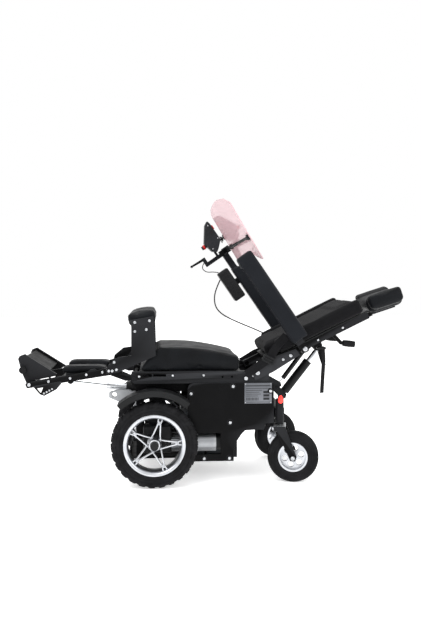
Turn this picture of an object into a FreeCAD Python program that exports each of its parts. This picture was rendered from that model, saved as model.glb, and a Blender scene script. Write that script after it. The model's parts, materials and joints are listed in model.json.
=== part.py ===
import FreeCAD, Part
from FreeCAD import Vector
import math
import os

# Power wheelchair, lying position.  Millimetres.  Front is -X, the user's left is -Y, up is +Z.

# Overall layout
TRACK = 560.0                    # between drive wheel mid planes
SEAT_PIVOT = (-350.0, 443.0)     # knee axis: seat and leg rest turn here (X, Z)
BACK_HINGE = (168.0, 464.0)      # backrest hinge (X, Z)
BACK_ANGLE = 26.0                # backrest above the horizontal, degrees
LEG_ANGLE = 9.5                  # leg rest below the horizontal, degrees
ARM_ANGLE = 55.5                 # arms are turned back this much from level
ARM_CENTRE = (216.0, 781.5)      # middle of an arm (X, Z)
ARM_Y = 265.0                    # arm centre line

# Drive wheels
WHEEL_R = 180.0
WHEEL_X = -267.0
TYRE_W = 80.0
RIM_R = 127.5
RIM_W = 70.0
AXLE_R = 12.0
RUN_GAP = 0.05                   # radial running clearance of every turning fit

# Casters
CASTER_R = 108.0
CASTER_W = 66.0
CASTER_RIM_R = 62.5
CASTER_X = 265.0                 # swivel axis
CASTER_Y = 210.0
CASTER_TRAIL = 57.0
CASTER_AXLE_R = 6.0
STEM_R = 10.0
BARREL_R = 17.0
BARREL_Z = (244.0, 352.0)
CASTER_YAW = {"left": -12.0, "right": -25.0}

# Chassis
RAIL_Y = (130.0, 160.0)
RAIL_Z = (380.0, 418.0)
FLOOR_Z = (92.0, 98.0)
PANEL_Y = (221.0, 225.0)
PIVOT_PIN_R = 8.0
SEAT_RAIL_Y = (192.0, 217.0)
SEAT_RAIL_Z = (422.0, 472.0)
SEAT_RAIL_X = (-362.0, 218.0)
LEG_RAIL_Y = (165.0, 185.0)
KNEE_PLATE_Y = (222.0, 228.0)
CUSHION_HALF = 213.0
CUSHION_Z = 472.2

# Actuators: pivot points (X, Z) with the rest pose
LEG_ACT_BASE = (-190.0, 352.0)
LEG_ACT_END = (-290.0, 12.0)     # on the leg rest, in its own level frame
LIFT_ACT_BASE = (100.0, 340.0)
LIFT_ACT_END = (-290.0, 350.0)
LIFT_ACT_Y = -75.0
RECLINE_BASE = (300.0, 346.0)
RECLINE_END = (461.0, 553.0)
RECLINE_Y = -55.0
GAS_BASE = (274.0, 398.0)
GAS_END = (396.0, 560.0)
GAS_Y = -108.0

HEADREST_DROP = 8.0              # headrest against the backrest, degrees

# Arms and tray
ARM_HALF = 215.0
ARM_TUBE = 34.0
ARM_TUBE_Z = (-21.0, 13.0)
PAD_W = 60.0
ARM_PIVOT = (222.0, 6.0)         # flip axis on the back frame (along, out of the back)
TRAY_TILT = 6.0
TRAY_PITCH = 3.6
TRAY_T = 5.0
TRAY_PIVOT = (220.0, 20.0)       # tray hinge line along the right arm (Y, Z)
LINK_Y = (240.0, 248.0)
FOOT_HINGE = (-438.0, 48.0)      # leg rest coordinates
FOOT_PIN_R = 6.0
ROLLER = (-455.0, 112.0)


# ---------------------------------------------------------------- helpers
def box(x, y, z):
    return Part.makeBox(x[1] - x[0], y[1] - y[0], z[1] - z[0], Vector(x[0], y[0], z[0]))


def soft_box(x, y, z, radius):
    body = box(x, y, z)
    return body.makeFillet(radius, body.Edges)


def rod_y(xz, radius, y):
    return Part.makeCylinder(radius, y[1] - y[0], Vector(xz[0], y[0], xz[1]), Vector(0, 1, 0))


def rod_z(x, y, radius, z):
    return Part.makeCylinder(radius, z[1] - z[0], Vector(x, y, z[0]))


def rod(start, end, radius):
    return Part.makeCylinder(radius, (end - start).Length, start, end - start)


def plate(points, y):
    corners = [Vector(p[0], y[0], p[1]) for p in points]
    wire = Part.makePolygon(corners + corners[:1])
    return Part.Face(wire).extrude(Vector(0, y[1] - y[0], 0))


def join(pieces):
    whole = pieces[0]
    for piece in pieces[1:]:
        whole = whole.fuse(piece)
    return whole.removeSplitter()


def carve(body, tools):
    for tool in tools:
        body = body.cut(tool)
    return body


def mirrored(shape):
    return shape.mirror(Vector(0, 0, 0), Vector(0, 1, 0))


def pair(shape):
    return [shape, mirrored(shape)]


def swing(shape, xz, degrees):
    """Turn in the side view, front end down for a positive angle."""
    turned = shape.copy()
    turned.rotate(Vector(xz[0], 0, xz[1]), Vector(0, -1, 0), degrees)
    return turned


def shift(shape, x=0.0, y=0.0, z=0.0):
    moved = shape.copy()
    moved.translate(Vector(x, y, z))
    return moved


def on_back(shape):
    """Back frame coordinates: X along the back from its hinge, Z out of its front."""
    return shift(swing(shape, (0, 0), BACK_ANGLE), BACK_HINGE[0], 0, BACK_HINGE[1])


def on_leg(shape):
    """Leg rest coordinates: level, with the knee axis at the origin and the feet at -X."""
    return shift(swing(shape, (0, 0), LEG_ANGLE), SEAT_PIVOT[0], 0, SEAT_PIVOT[1])


def on_arm(shape):
    """Arm coordinates: level arm with its middle at the origin, fingers at -X."""
    return shift(swing(shape, (0, 0), -ARM_ANGLE), ARM_CENTRE[0], 0, ARM_CENTRE[1])


def on_tray(shape):
    """Tray coordinates: arm coordinates with the tray's tilt and pitch about the right arm."""
    tilted = swing(shape, (-260, TRAY_PIVOT[1]), -TRAY_PITCH)
    tilted.rotate(Vector(0, TRAY_PIVOT[0], TRAY_PIVOT[1]), Vector(1, 0, 0), -TRAY_TILT)
    return on_arm(tilted)


def back_point(along, out):
    a = math.radians(BACK_ANGLE)
    return (BACK_HINGE[0] + along * math.cos(a) - out * math.sin(a),
            BACK_HINGE[1] + along * math.sin(a) + out * math.cos(a))


def leg_point(x, z):
    a = math.radians(LEG_ANGLE)
    return (SEAT_PIVOT[0] + x * math.cos(a) - z * math.sin(a),
            SEAT_PIVOT[1] + x * math.sin(a) + z * math.cos(a))


def revolve_y(profile, xz):
    """Spin (radius, y) points about a Y axis through xz."""
    corners = [Vector(p[0], p[1], 0) for p in profile]
    face = Part.Face(Part.makePolygon(corners + corners[:1]))
    solid = face.revolve(Vector(0, 0, 0), Vector(0, 1, 0), 360)
    return shift(solid, xz[0], 0, xz[1])


def cord(points, radius, bend):
    """Round cord through the points, with tangent arcs at its turns."""
    edges = []
    at = points[0]
    for i in range(1, len(points) - 1):
        before = (points[i - 1] - points[i]).normalize()
        after = (points[i + 1] - points[i]).normalize()
        half = before.getAngle(after) / 2
        reach = bend / math.tan(half)
        start = points[i] + before * reach
        end = points[i] + after * reach
        middle = (before + after).normalize()
        crown = points[i] + middle * (bend / math.sin(half) - bend)
        edges.append(Part.LineSegment(at, start).toShape())
        edges.append(Part.Arc(start, crown, end).toShape())
        at = end
    edges.append(Part.LineSegment(at, points[-1]).toShape())
    section = Part.Wire(Part.Circle(points[0], points[1] - points[0], radius).toShape())
    return Part.Wire(edges).makePipeShell([section], True, True)


def ring_holes(xz, pitch_r, hole_r, count, y, first=0.0):
    holes = []
    for i in range(count):
        a = math.radians(first + 360.0 * i / count)
        holes.append(rod_y((xz[0] + pitch_r * math.cos(a), xz[1] + pitch_r * math.sin(a)), hole_r, y))
    return holes


# ---------------------------------------------------------------- base
def chassis_frame():
    parts = [box((-375, 88), (-160, 160), FLOOR_Z)]
    for side in (-1, 1):
        y = tuple(sorted((side * RAIL_Y[0], side * RAIL_Y[1])))
        parts.append(box((-345, 225), y, RAIL_Z))
        parts.append(box((-345, -317), y, (FLOOR_Z[0], RAIL_Z[1])))
        parts.append(box((58, 88), y, (FLOOR_Z[0], RAIL_Z[1])))
        parts.append(box((195, 225), y, (262, RAIL_Z[1])))
        parts.append(box((58, 250), y, (262, 296)))
        parts.append(box((-290, -220), y, (243, RAIL_Z[0])))
        lug_y = tuple(sorted((side * 140, side * 160)))
        lug = [rod_y(SEAT_PIVOT, 20, lug_y)]
        lug.append(plate([(-370, 443), (-362, 400), (-317, 400), (-330, 443)], lug_y))
        parts += lug
        parts.append(rod_z(CASTER_X, side * CASTER_Y, BARREL_R, BARREL_Z))
        for x in (-110, 60, 205):
            arm_y = tuple(sorted((side * 159, side * PANEL_Y[0])))
            parts.append(box((x - 9, x + 9), arm_y, (392, 412)))
    parts.append(box((245, 285), (-CASTER_Y, CASTER_Y), (262, 312)))
    parts.append(box((-205, -175), (-RAIL_Y[1], RAIL_Y[1]), (388, 410)))
    parts.append(box((85, 115), (-RAIL_Y[1], RAIL_Y[1]), (372, 394)))
    parts.append(box((-345, -339), (-150, 150), (110, 180)))
    for y in ((-40, -33), (33, 40)):
        parts.append(plate([(-205, 400), (-205, 340), (-195, 332), (-175, 332), (-175, 400)], y))
    for y in ((LIFT_ACT_Y - 37, LIFT_ACT_Y - 30), (LIFT_ACT_Y + 30, LIFT_ACT_Y + 37)):
        parts.append(plate([(85, 380), (85, 330), (93, 322), (107, 322), (115, 330), (115, 380)], y))
    parts.append(box((-363, -344), (-70, -4), (170, 178)))
    parts.append(rod_y(SEAT_PIVOT, PIVOT_PIN_R, (-219, 219)))
    parts.append(rod_y(LEG_ACT_BASE, 7.0, (-40, 40)))
    parts.append(rod_y(LIFT_ACT_BASE, 7.0, (LIFT_ACT_Y - 37, LIFT_ACT_Y + 37)))
    parts.append(box((-375, -369), (-150, 150), (FLOOR_Z[0], 130)))
    parts.append(box((-180, 90), (-RAIL_Y[0], RAIL_Y[0]), (398, 402)))
    parts.append(box((-205, -175), (LIFT_ACT_Y - 37, LIFT_ACT_Y + 37), (410, 424)))
    frame = join(parts)
    bores = [box((-215, -50), (LIFT_ACT_Y - 27, LIFT_ACT_Y + 27), (360, 410))]
    for side in (-1, 1):
        bores.append(rod_z(CASTER_X, side * CASTER_Y, STEM_R + RUN_GAP, (BARREL_Z[0] - 1, BARREL_Z[1] - 8)))
    return carve(frame, bores)


def side_panel():
    outline = [(-128, 91), (67, 91), (67, 137), (80, 175), (100, 205), (116, 221), (196, 224),
               (203, 250), (237, 250), (237, 424), (-104, 424), (-122, 416), (-128, 400)]
    panel = plate(outline, (-PANEL_Y[1], -PANEL_Y[0]))
    window = box((-88, 11), (-PANEL_Y[1] - 1, -PANEL_Y[0] + 1), (121, 211))
    bosses = []
    for x, z in ((-114, 380), (63, 409), (51, 256), (-59, 105), (48, 105), (222, 388)):
        bosses.append(rod_y((x, z), 12, (-PANEL_Y[1] - 2, -PANEL_Y[0])))
        bosses.append(rod_y((x, z), 7, (-PANEL_Y[1] - 7, -PANEL_Y[0])))
    return join([carve(panel, [window])] + bosses)


def battery_pack():
    blocks = []
    for x0 in (-150, -44):
        block = soft_box((x0, x0 + 100), (-122, 122), (FLOOR_Z[1], 288), 5)
        blocks.append(block)
    return Part.makeCompound(blocks)


def power_module():
    body = soft_box((120, 240), (-100, 100), (262, 316), 6)
    fins = [box((128 + 13 * i, 132 + 13 * i), (-90, 90), (315, 324)) for i in range(9)]
    return join([body] + fins)


def motor():
    """Left motor: worm gearbox on the wheel axis, motor lying behind it, output axle."""
    mid = -177.0
    gearbox = soft_box((-315, -195), (-215, -138), (128, 243), 8)
    flange = rod_y((WHEEL_X, WHEEL_R), 34, (-232, -214))
    can = Part.makeCylinder(40, 190, Vector(-197, mid, 166), Vector(1, 0, 0))
    cap = Part.makeCylinder(34, 30, Vector(-8, mid, 166), Vector(1, 0, 0))
    axle = rod_y((WHEEL_X, WHEEL_R), AXLE_R, (-TRACK / 2 - 42, -214))
    nut = rod_y((WHEEL_X, WHEEL_R), 17, (-TRACK / 2 - 52, -TRACK / 2 - 40))
    return join([gearbox, flange, can, cap, axle, nut])


def release_lever():
    """Left free-wheel lever on the motor's rear cap."""
    rim = rod(Vector(0, -177, 209), Vector(0, -177, 215), 11)
    stem = rod(Vector(0, -177, 212), Vector(44, -196, 218), 3.5)
    knob = rod(Vector(40, -194, 217.5), Vector(58, -202, 220), 6.5)
    return join([rim, stem, knob])


def fender():
    centre = (WHEEL_X, WHEEL_R)
    inner, outer = 222.0, 226.0
    arch = revolve_y([(inner, -322), (outer, -322), (outer, -238), (inner, -238)], centre)
    flange = revolve_y([(inner - 20, -325), (outer, -325), (outer, -321), (inner - 20, -321)], centre)
    inner_flange = revolve_y([(188, -238), (outer, -238), (outer, -236), (188, -236)], centre)
    whole = arch.fuse(flange).fuse(inner_flange)
    wedge = []
    for a in (50, 132):
        rad = math.radians(a)
        wedge.append((centre[0] + 500 * math.cos(rad), centre[1] + 500 * math.sin(rad)))
    sector = plate([centre, wedge[0], (centre[0], centre[1] + 700), wedge[1]], (-340, -220))
    guard = whole.common(sector)
    stay_y = (-240, -161)
    stay = box((-300, -262), stay_y, (394, 399))
    stay2 = box((-300, -262), (-240, -234), (394, 403))
    return join([guard, stay, stay2])


def front_bracket():
    outline = [(-352, 330), (-372, 372), (-425, 374), (-467, 362), (-467, 340), (-425, 322)]
    ears = []
    for y in ((-58, -52), (-34, -28)):
        ear = plate(outline, y)
        ears.append(ear.cut(rod_y((-443, 352), 11, (y[0] - 1, y[1] + 1))))
    web = plate([(-352, 330), (-352, 366), (-385, 366), (-395, 340)], (-58, -28))
    foot = box((-352, -345), (-66, -28), (178, 340))
    return join(ears + [web, foot])


def marker_lights():
    lamps = pair(soft_box((CASTER_X - 11, CASTER_X + 12), (-236, -229), (333, 369), 3))
    return Part.makeCompound(lamps)


# ---------------------------------------------------------------- wheels
def drive_tyre():
    mid = -TRACK / 2
    h = TYRE_W / 2
    profile = [(RIM_R, mid - 32), (RIM_R + 6, mid - 36), (150, mid - h), (166, mid - h + 1), (176, mid - h + 8),
               (WHEEL_R, mid - h + 18), (WHEEL_R, mid + h - 18), (176, mid + h - 8), (166, mid + h - 1),
               (150, mid + h), (RIM_R + 6, mid + 36), (RIM_R, mid + 32)]
    return revolve_y(profile, (WHEEL_X, WHEEL_R))


def drive_rim():
    mid = -TRACK / 2
    h = RIM_W / 2
    centre = (WHEEL_X, WHEEL_R)
    well = [(RIM_R, mid - h), (RIM_R, mid + h), (RIM_R - 8, mid + h), (RIM_R - 16, mid + h - 14),
            (RIM_R - 16, mid - h + 14), (RIM_R - 8, mid - h)]
    parts = [revolve_y(well, centre), rod_y(centre, 24, (mid - 28, mid + 44))]
    for i in range(5):
        angle = 5.0 + 72.0 * i
        for lean in (-6.5, 6.5):
            a = math.radians(angle)
            b = math.radians(angle + lean)
            foot = Vector(centre[0] + 14 * math.cos(a), mid - 14, centre[1] + 14 * math.sin(a))
            tip_r = RIM_R - 12
            tip = Vector(centre[0] + tip_r * math.cos(b), mid - 22, centre[1] + tip_r * math.sin(b))
            parts.append(rod(foot, tip, 6))
    rim = join(parts)
    return carve(rim, [rod_y(centre, AXLE_R + RUN_GAP, (mid - 60, mid + 60))])


def yawed(shape, side):
    turned = shape.copy()
    turned.rotate(Vector(CASTER_X, -CASTER_Y, 0), Vector(0, 0, 1), CASTER_YAW[side])
    return turned


def caster_fork(side):
    axle = (CASTER_X + CASTER_TRAIL, CASTER_R)
    y = -CASTER_Y
    parts = [rod_z(CASTER_X, y, STEM_R, (240, BARREL_Z[1] - 10)),
             box((CASTER_X - 24, CASTER_X + 24), (y - 43, y + 43), (219, 242))]
    for s in (-1, 1):
        leg_y = tuple(sorted((y + s * 37, y + s * 43)))
        parts.append(plate([(CASTER_X - 22, 242), (CASTER_X + 24, 242), (axle[0] + 16, axle[1] + 4),
                            (axle[0] + 10, axle[1] - 14), (axle[0] - 10, axle[1] - 14),
                            (axle[0] - 18, axle[1] + 4)], leg_y))
    parts.append(rod_y(axle, CASTER_AXLE_R, (y - 48, y + 48)))
    return yawed(join(parts), side)


def caster_tyre(side):
    axle = (CASTER_X + CASTER_TRAIL, CASTER_R)
    y = -CASTER_Y
    h = CASTER_W / 2
    profile = [(CASTER_RIM_R, y - 26), (70, y - h + 2), (86, y - h), (100, y - h + 6), (CASTER_R, y - h + 17),
               (CASTER_R, y + h - 17), (100, y + h - 6), (86, y + h), (70, y + h - 2), (CASTER_RIM_R, y + 26)]
    return yawed(revolve_y(profile, axle), side)


def caster_rim(side):
    axle = (CASTER_X + CASTER_TRAIL, CASTER_R)
    y = -CASTER_Y
    parts = [revolve_y([(CASTER_RIM_R, y - 28), (CASTER_RIM_R, y + 28), (54, y + 28), (54, y - 28)], axle),
             rod_y(axle, 17, (y - 32, y + 32)), rod_y(axle, 56, (y - 8, y + 8))]
    rim = join(parts)
    rim = carve(rim, ring_holes(axle, 36, 12, 6, (y - 20, y + 20), 15.0))
    return yawed(carve(rim, [rod_y(axle, CASTER_AXLE_R + RUN_GAP, (y - 60, y + 60))]), side)


# ---------------------------------------------------------------- seat
def seat_frame():
    rails = []
    for side in (-1, 1):
        y = tuple(sorted((side * SEAT_RAIL_Y[0], side * SEAT_RAIL_Y[1])))
        rail = plate([(SEAT_RAIL_X[0], 431), (-350, SEAT_RAIL_Z[0]), (SEAT_RAIL_X[1], SEAT_RAIL_Z[0]),
                      (SEAT_RAIL_X[1], SEAT_RAIL_Z[1]), (SEAT_RAIL_X[0], SEAT_RAIL_Z[1])], y)
        cuts = [rod_y(SEAT_PIVOT, PIVOT_PIN_R + RUN_GAP, (y[0] - 1, y[1] + 1))]
        for x0, x1 in ((-316, -278), (-273, -218)):
            cuts.append(box((x0, x1), (y[0] - 1, y[1] + 1), (451, 462)))
        for x in (20, 60):
            cuts.append(rod_y((x, 448), 4.25, (y[0] - 1, y[1] + 1)))
        rails.append(carve(rail, cuts))
        hinge_y = tuple(sorted((side * 196, side * 204)))
        rails.append(rod_y(BACK_HINGE, 10, tuple(sorted((side * 172, side * 215)))))
        rails.append(plate([(192, 472), (218, 472), (218, 425), (150, 425)], hinge_y))
    cross = [box((-300, -272), (-193, 193), (428, 448)), box((80, 108), (-193, 193), (428, 452)),
             box((190, 214), (-193, 193), (424, 448))]
    brackets = []
    for y in ((LIFT_ACT_Y - 22, LIFT_ACT_Y - 14), (LIFT_ACT_Y + 14, LIFT_ACT_Y + 22)):
        brackets.append(plate([(-300, 440), (-302, 345), (-290, 336), (-278, 345), (-272, 440)], y))
    for y in ((RECLINE_Y - 30, RECLINE_Y - 24), (RECLINE_Y + 24, RECLINE_Y + 30)):
        brackets.append(plate([(195, 430), (205, 424), (284, 340), (296, 331), (312, 334), (316, 350),
                               (304, 366), (214, 448)], y))
    for y in ((GAS_Y - 20, GAS_Y - 14), (GAS_Y + 14, GAS_Y + 20)):
        brackets.append(plate([(195, 430), (205, 424), (262, 388), (276, 386), (287, 397), (282, 410),
                               (214, 448)], y))
    pins = [rod_y(RECLINE_BASE, 7, (RECLINE_Y - 30, RECLINE_Y + 30)),
            rod_y(GAS_BASE, 5, (GAS_Y - 20, GAS_Y + 20))]
    pan = box((-330, 100), (-192.5, 192.5), (466, 472))
    return join(rails + cross + brackets + pins + [pan])


def seat_cushion():
    profile = [(-337, CUSHION_Z), (-298, 529), (-263, 567), (-241, 577), (-121, 575), (-7, 558),
               (96, 535), (96, CUSHION_Z)]
    body = plate(profile, (-CUSHION_HALF, CUSHION_HALF))
    return body.makeFillet(12, body.Edges)


def seat_belt():
    """Left lap strap from its anchor bolt on the seat rail up to the buckle."""
    run = plate([(108, 474), (198, 535), (222, 500), (131, 440)], (-228.5, -226))
    anchor = rod_y((120, 459), 9, (-229.5, -217))
    return join([run, anchor])


def belt_buckle():
    body = soft_box((-27, 27), (-237, -228.6), (-15, 15), 4)
    return shift(swing(body, (0, 0), -27), 213, 0, 521)


# ---------------------------------------------------------------- backrest
def back_frame():
    parts = []
    for side in (-1, 1):
        y = tuple(sorted((side * 150, side * 171)))
        parts.append(box((-14, 545), y, (-12, 18)))
        lug = tuple(sorted((side * 171, side * 191)))
        parts.append(rod_y((0, 0), 18, lug))
        parts.append(box((-14, 60), lug, (-8, 14)))
        arm_lug = tuple(sorted((side * 171, side * 238)))
        parts.append(box((ARM_PIVOT[0] - 14, ARM_PIVOT[0] + 14), arm_lug, (-10, 16)))
        parts.append(rod_y(ARM_PIVOT, 6, tuple(sorted((side * 230, side * (LINK_Y[1] + 2))))))
        cheek = tuple(sorted((side * 218, side * 223)))
        parts.append(plate([(-22, -24), (-22, 26), (60, 34), (190, 20), (196, -12), (60, -26)], cheek))
        parts.append(box((100, 160), tuple(sorted((side * 171, side * 218))), (-8, 14)))
        bend = Vector(386, side * 160.5, -54)
        end = Vector(412, side * 160.5, -70.7)
        parts.append(rod(Vector(372, side * 160.5, -8), bend, 8))
        parts.append(Part.makeSphere(8, bend))
        parts.append(rod(bend, end, 8))
    for x in (70, 300, 500):
        parts.append(box((x, x + 26), (-151, 151), (-10, 14)))
    parts.append(box((500, 600), (-15, 15), (-34, -18)))
    parts.append(box((494, 532), (-28, 28), (-34, -9)))
    parts.append(swing(box((590, 700), (-60, 60), (-20, -10)), (572, -10), -HEADREST_DROP))
    frame = join(parts)
    cuts = []
    for side in (-1, 1):
        cuts.append(rod_y((0, 0), 10 + RUN_GAP, tuple(sorted((side * 149, side * 192)))))
    frame = on_back(carve(frame, cuts))
    ears = []
    for y in ((RECLINE_Y - 30, RECLINE_Y - 24), (RECLINE_Y + 24, RECLINE_Y + 30)):
        ears.append(on_back(plate([(272, 0), (288, -50), (300, -63), (316, -56), (322, -40), (326, 0)], y)))
    for y in ((GAS_Y - 20, GAS_Y - 14), (GAS_Y + 14, GAS_Y + 20)):
        ears.append(on_back(plate([(230, 0), (236, -20), (247, -28), (258, -22), (326, -6), (326, 0)], y)))
    braces = [on_back(box((272, 326), (-140, -20), (-10, 0)))]
    pins = [rod_y(RECLINE_END, 5, (RECLINE_Y - 30, RECLINE_Y - 24)), rod_y(GAS_END, 4, (GAS_Y - 20, GAS_Y - 14))]
    return join([frame] + ears + braces + pins)


def back_shell():
    body = box((70, 540), (-190, 190), (20, 26))
    cut = box((190, 300), (-60, 60), (0, 40))
    return on_back(body.cut(cut))


def back_cushion():
    body = soft_box((70, 532), (-178, 178), (27.5, 88), 16)
    return on_back(body)


def back_bolsters():
    body = soft_box((120, 526), (-226, -180), (28, 94), 14)
    return Part.makeCompound([on_back(s) for s in pair(body)])


def headrest_pad():
    middle = soft_box((572, 742), (-90, 90), (-10, 58), 18)
    wings = []
    for side in (-1, 1):
        wing = soft_box((576, 738), tuple(sorted((side * 70, side * 132))), (-2, 66), 18)
        wing.rotate(Vector(0, side * 70, 0), Vector(1, 0, 0), side * 12)
        wings.append(wing)
    return on_back(swing(join([middle] + wings), (572, -10), -HEADREST_DROP))


def push_grips():
    grips = []
    for side in (-1, 1):
        y = side * 160.5
        grip = rod(Vector(394, y, -59.2), Vector(438, y, -87.5), 12)
        core = rod(Vector(386, y, -54), Vector(412, y, -70.7), 8)
        grips.append(on_back(grip.cut(core)))
    return Part.makeCompound(grips)


# ---------------------------------------------------------------- struts
def toward(a, b, distance):
    d = math.hypot(b[0] - a[0], b[1] - a[1])
    return (a[0] + (b[0] - a[0]) * distance / d, a[1] + (b[1] - a[1]) * distance / d)


def strut_tube(a, b, y, r, bore, start, end, eye_r, pin_r, eye_w):
    """Tube from its eye at a toward b, bored for the rod."""
    p0 = toward(a, b, start)
    p1 = toward(a, b, end)
    tube = rod(Vector(p0[0], y, p0[1]), Vector(p1[0], y, p1[1]), r)
    p2 = toward(a, b, start + 14)
    p3 = toward(a, b, end + 2)
    hole = rod(Vector(p2[0], y, p2[1]), Vector(p3[0], y, p3[1]), bore)
    neck = rod(Vector(a[0], y, a[1]), Vector(p0[0], y, p0[1]), eye_r * 0.8)
    eye = rod_y(a, eye_r, (y - eye_w / 2, y + eye_w / 2))
    whole = join([tube.cut(hole), neck.cut(hole), eye])
    return whole.cut(rod_y(a, pin_r, (y - eye_w, y + eye_w)))


def strut_rod(a, b, y, r, start, eye_r, eye_w, hole_r):
    """Rod from inside the tube to its eye at b."""
    span = math.hypot(b[0] - a[0], b[1] - a[1])
    p0 = toward(a, b, start)
    p1 = toward(a, b, span - eye_r * 0.5)
    eye = rod_y(b, eye_r, (y - eye_w / 2, y + eye_w / 2))
    whole = join([rod(Vector(p0[0], y, p0[1]), Vector(p1[0], y, p1[1]), r), eye])
    return whole.cut(rod_y(b, hole_r, (y - eye_w, y + eye_w)))


def leg_actuator():
    end = leg_point(*LEG_ACT_END)
    barrel = strut_tube(LEG_ACT_BASE, end, 0, 25, 10.05, 18, 205, 16, 7 + RUN_GAP, 40)
    a = toward(LEG_ACT_BASE, end, 205)
    b = toward(LEG_ACT_BASE, end, 292)
    sleeve = rod(Vector(a[0], 0, a[1]), Vector(b[0], 0, b[1]), 16)
    c = toward(LEG_ACT_BASE, end, 294)
    return join([barrel, sleeve.cut(rod(Vector(LEG_ACT_BASE[0], 0, LEG_ACT_BASE[1]),
                                        Vector(c[0], 0, c[1]), 10.05))])


def leg_rod():
    return strut_rod(LEG_ACT_BASE, leg_point(*LEG_ACT_END), 0, 10, 190, 13, 16, 6)


def lift_actuator():
    return strut_tube(LIFT_ACT_BASE, LIFT_ACT_END, LIFT_ACT_Y, 22, 10.05, 18, 250, 15, 7 + RUN_GAP, 36)


def lift_rod():
    return strut_rod(LIFT_ACT_BASE, LIFT_ACT_END, LIFT_ACT_Y, 10, 80, 12, 16, 6)


def recline_actuator():
    return strut_tube(RECLINE_BASE, RECLINE_END, RECLINE_Y, 19, 9.05, 18, 190, 14, 7 + RUN_GAP, 32)


def recline_rod():
    return strut_rod(RECLINE_BASE, RECLINE_END, RECLINE_Y, 9, 36, 12, 14, 5 + RUN_GAP)


def gas_spring_rod():
    p0 = toward(GAS_BASE, GAS_END, 8)
    p1 = toward(GAS_BASE, GAS_END, 150)
    shaft = rod(Vector(p0[0], GAS_Y, p0[1]), Vector(p1[0], GAS_Y, p1[1]), 4)
    eye = rod_y(GAS_BASE, 11, (GAS_Y - 8, GAS_Y + 8))
    return join([shaft, eye]).cut(rod_y(GAS_BASE, 5 + RUN_GAP, (GAS_Y - 20, GAS_Y + 20)))


def gas_spring_tube():
    span = math.hypot(GAS_END[0] - GAS_BASE[0], GAS_END[1] - GAS_BASE[1])
    p0 = toward(GAS_BASE, GAS_END, 34)
    p1 = toward(GAS_BASE, GAS_END, span - 6)
    p2 = toward(GAS_BASE, GAS_END, 154)
    tube = rod(Vector(p0[0], GAS_Y, p0[1]), Vector(p1[0], GAS_Y, p1[1]), 10)
    hole = rod(Vector(GAS_BASE[0], GAS_Y, GAS_BASE[1]), Vector(p2[0], GAS_Y, p2[1]), 4.05)
    eye = rod_y(GAS_END, 11, (GAS_Y - 8, GAS_Y + 8))
    return join([tube.cut(hole), eye]).cut(rod_y(GAS_END, 4, (GAS_Y - 20, GAS_Y + 20)))


# ---------------------------------------------------------------- arms, controls, tray
def arm_frame(side):
    """Arm tube with its link to the flip pivot on the back frame."""
    s = -1 if side == "left" else 1
    y = tuple(sorted((s * (ARM_Y - ARM_TUBE / 2), s * (ARM_Y + ARM_TUBE / 2))))
    strap = tuple(sorted((s * LINK_Y[0], s * LINK_Y[1])))
    parts = [box((-168, 230), y, ARM_TUBE_Z),
             plate([(217, -19), (217, 11), (255, 16), (272, 8), (276, -6), (262, -16), (240, -20)], strap)]
    if side == "right":
        parts.append(box((-120, -90), (ARM_Y - 8, ARM_Y + 8), (-34, -20)))
    pivot = back_point(*ARM_PIVOT)
    boss = rod_y(pivot, 16, strap)
    whole = join([on_arm(join(parts)), boss])
    return whole.cut(rod_y(pivot, 6 + RUN_GAP, tuple(sorted((s * 230, s * 260)))))


def arm_pad(side):
    s = -1 if side == "left" else 1
    y = tuple(sorted((s * (ARM_Y - PAD_W / 2), s * (ARM_Y + PAD_W / 2))))
    front, under = (-ARM_HALF, -32) if side == "left" else (-165, -24)
    body = soft_box((front, ARM_HALF), y, (under, 42), 9)
    slot_y = tuple(sorted((s * (ARM_Y - ARM_TUBE / 2 - 0.1), s * (ARM_Y + ARM_TUBE / 2 + 0.1))))
    slot_x = -168.1 if side == "left" else front - 1
    return on_arm(body.cut(box((slot_x, ARM_HALF + 1), slot_y, (under - 1, ARM_TUBE_Z[1]))))


def joystick_mount():
    """Extension tube, clamp, tray hinge ears and latch bars at the front of the right arm."""
    tube = box((-270, -168), (ARM_Y - 15, ARM_Y + 15), (-19, 11))
    clamp = soft_box((-272, -246), (ARM_Y - 22, ARM_Y + 22), (-26, 26), 4)
    parts = [tube, clamp]
    for s in (-1, 1):
        y = tuple(sorted((ARM_Y + s * 11, ARM_Y + s * 15)))
        parts.append(plate([(-262, -18), (-244, -18), (-244, -112), (-290, -112), (-290, -96), (-262, -96)], y))
    parts.append(rod_y((-281, -104), 4, (ARM_Y - 15, ARM_Y + 15)))
    parts.append(box((-284, -262), (ARM_Y - 12, ARM_Y + 12), (-44, -34)))
    for x in ((-276, -270), (-250, -244)):
        parts.append(box(x, (212, 244), (-10, 6)))
        parts.append(box(x, (213.5, 226), (-10, 26)))
    parts.append(box((-272, -248), (238, 244), (-10, 6)))
    parts.append(rod(Vector(-276, *TRAY_PIVOT), Vector(-244, *TRAY_PIVOT), 4))
    return on_arm(join(parts))


def control_box():
    return on_arm(soft_box((-188, -28), (ARM_Y - 30, ARM_Y + 30), (-92, -34), 8))


def joystick_pod():
    outline = [(-427, 11), (-408, 16), (-317, 17), (-289, -13), (-276, -31), (-292, -51), (-344, -62), (-415, -10)]
    body = plate(outline, (ARM_Y - 32, ARM_Y + 32))
    body = body.makeFillet(5, body.Edges)
    socket = rod_z(-330, ARM_Y, 9, (-82, -50))
    cuts = [rod_z(-316, ARM_Y, 12, (-6, 30)), box((-399, -375), (ARM_Y - 25, ARM_Y - 7), (12, 30)),
            box((-290, -262), (ARM_Y - 12, ARM_Y + 12), (-44, -34)), box((-280, -260), (230, 300), (-27, 0))]
    pin = rod_y((-316, 6), 2, (ARM_Y - 12.5, ARM_Y + 12.5))
    return on_arm(join([carve(join([body, socket]), cuts), pin]))


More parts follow.
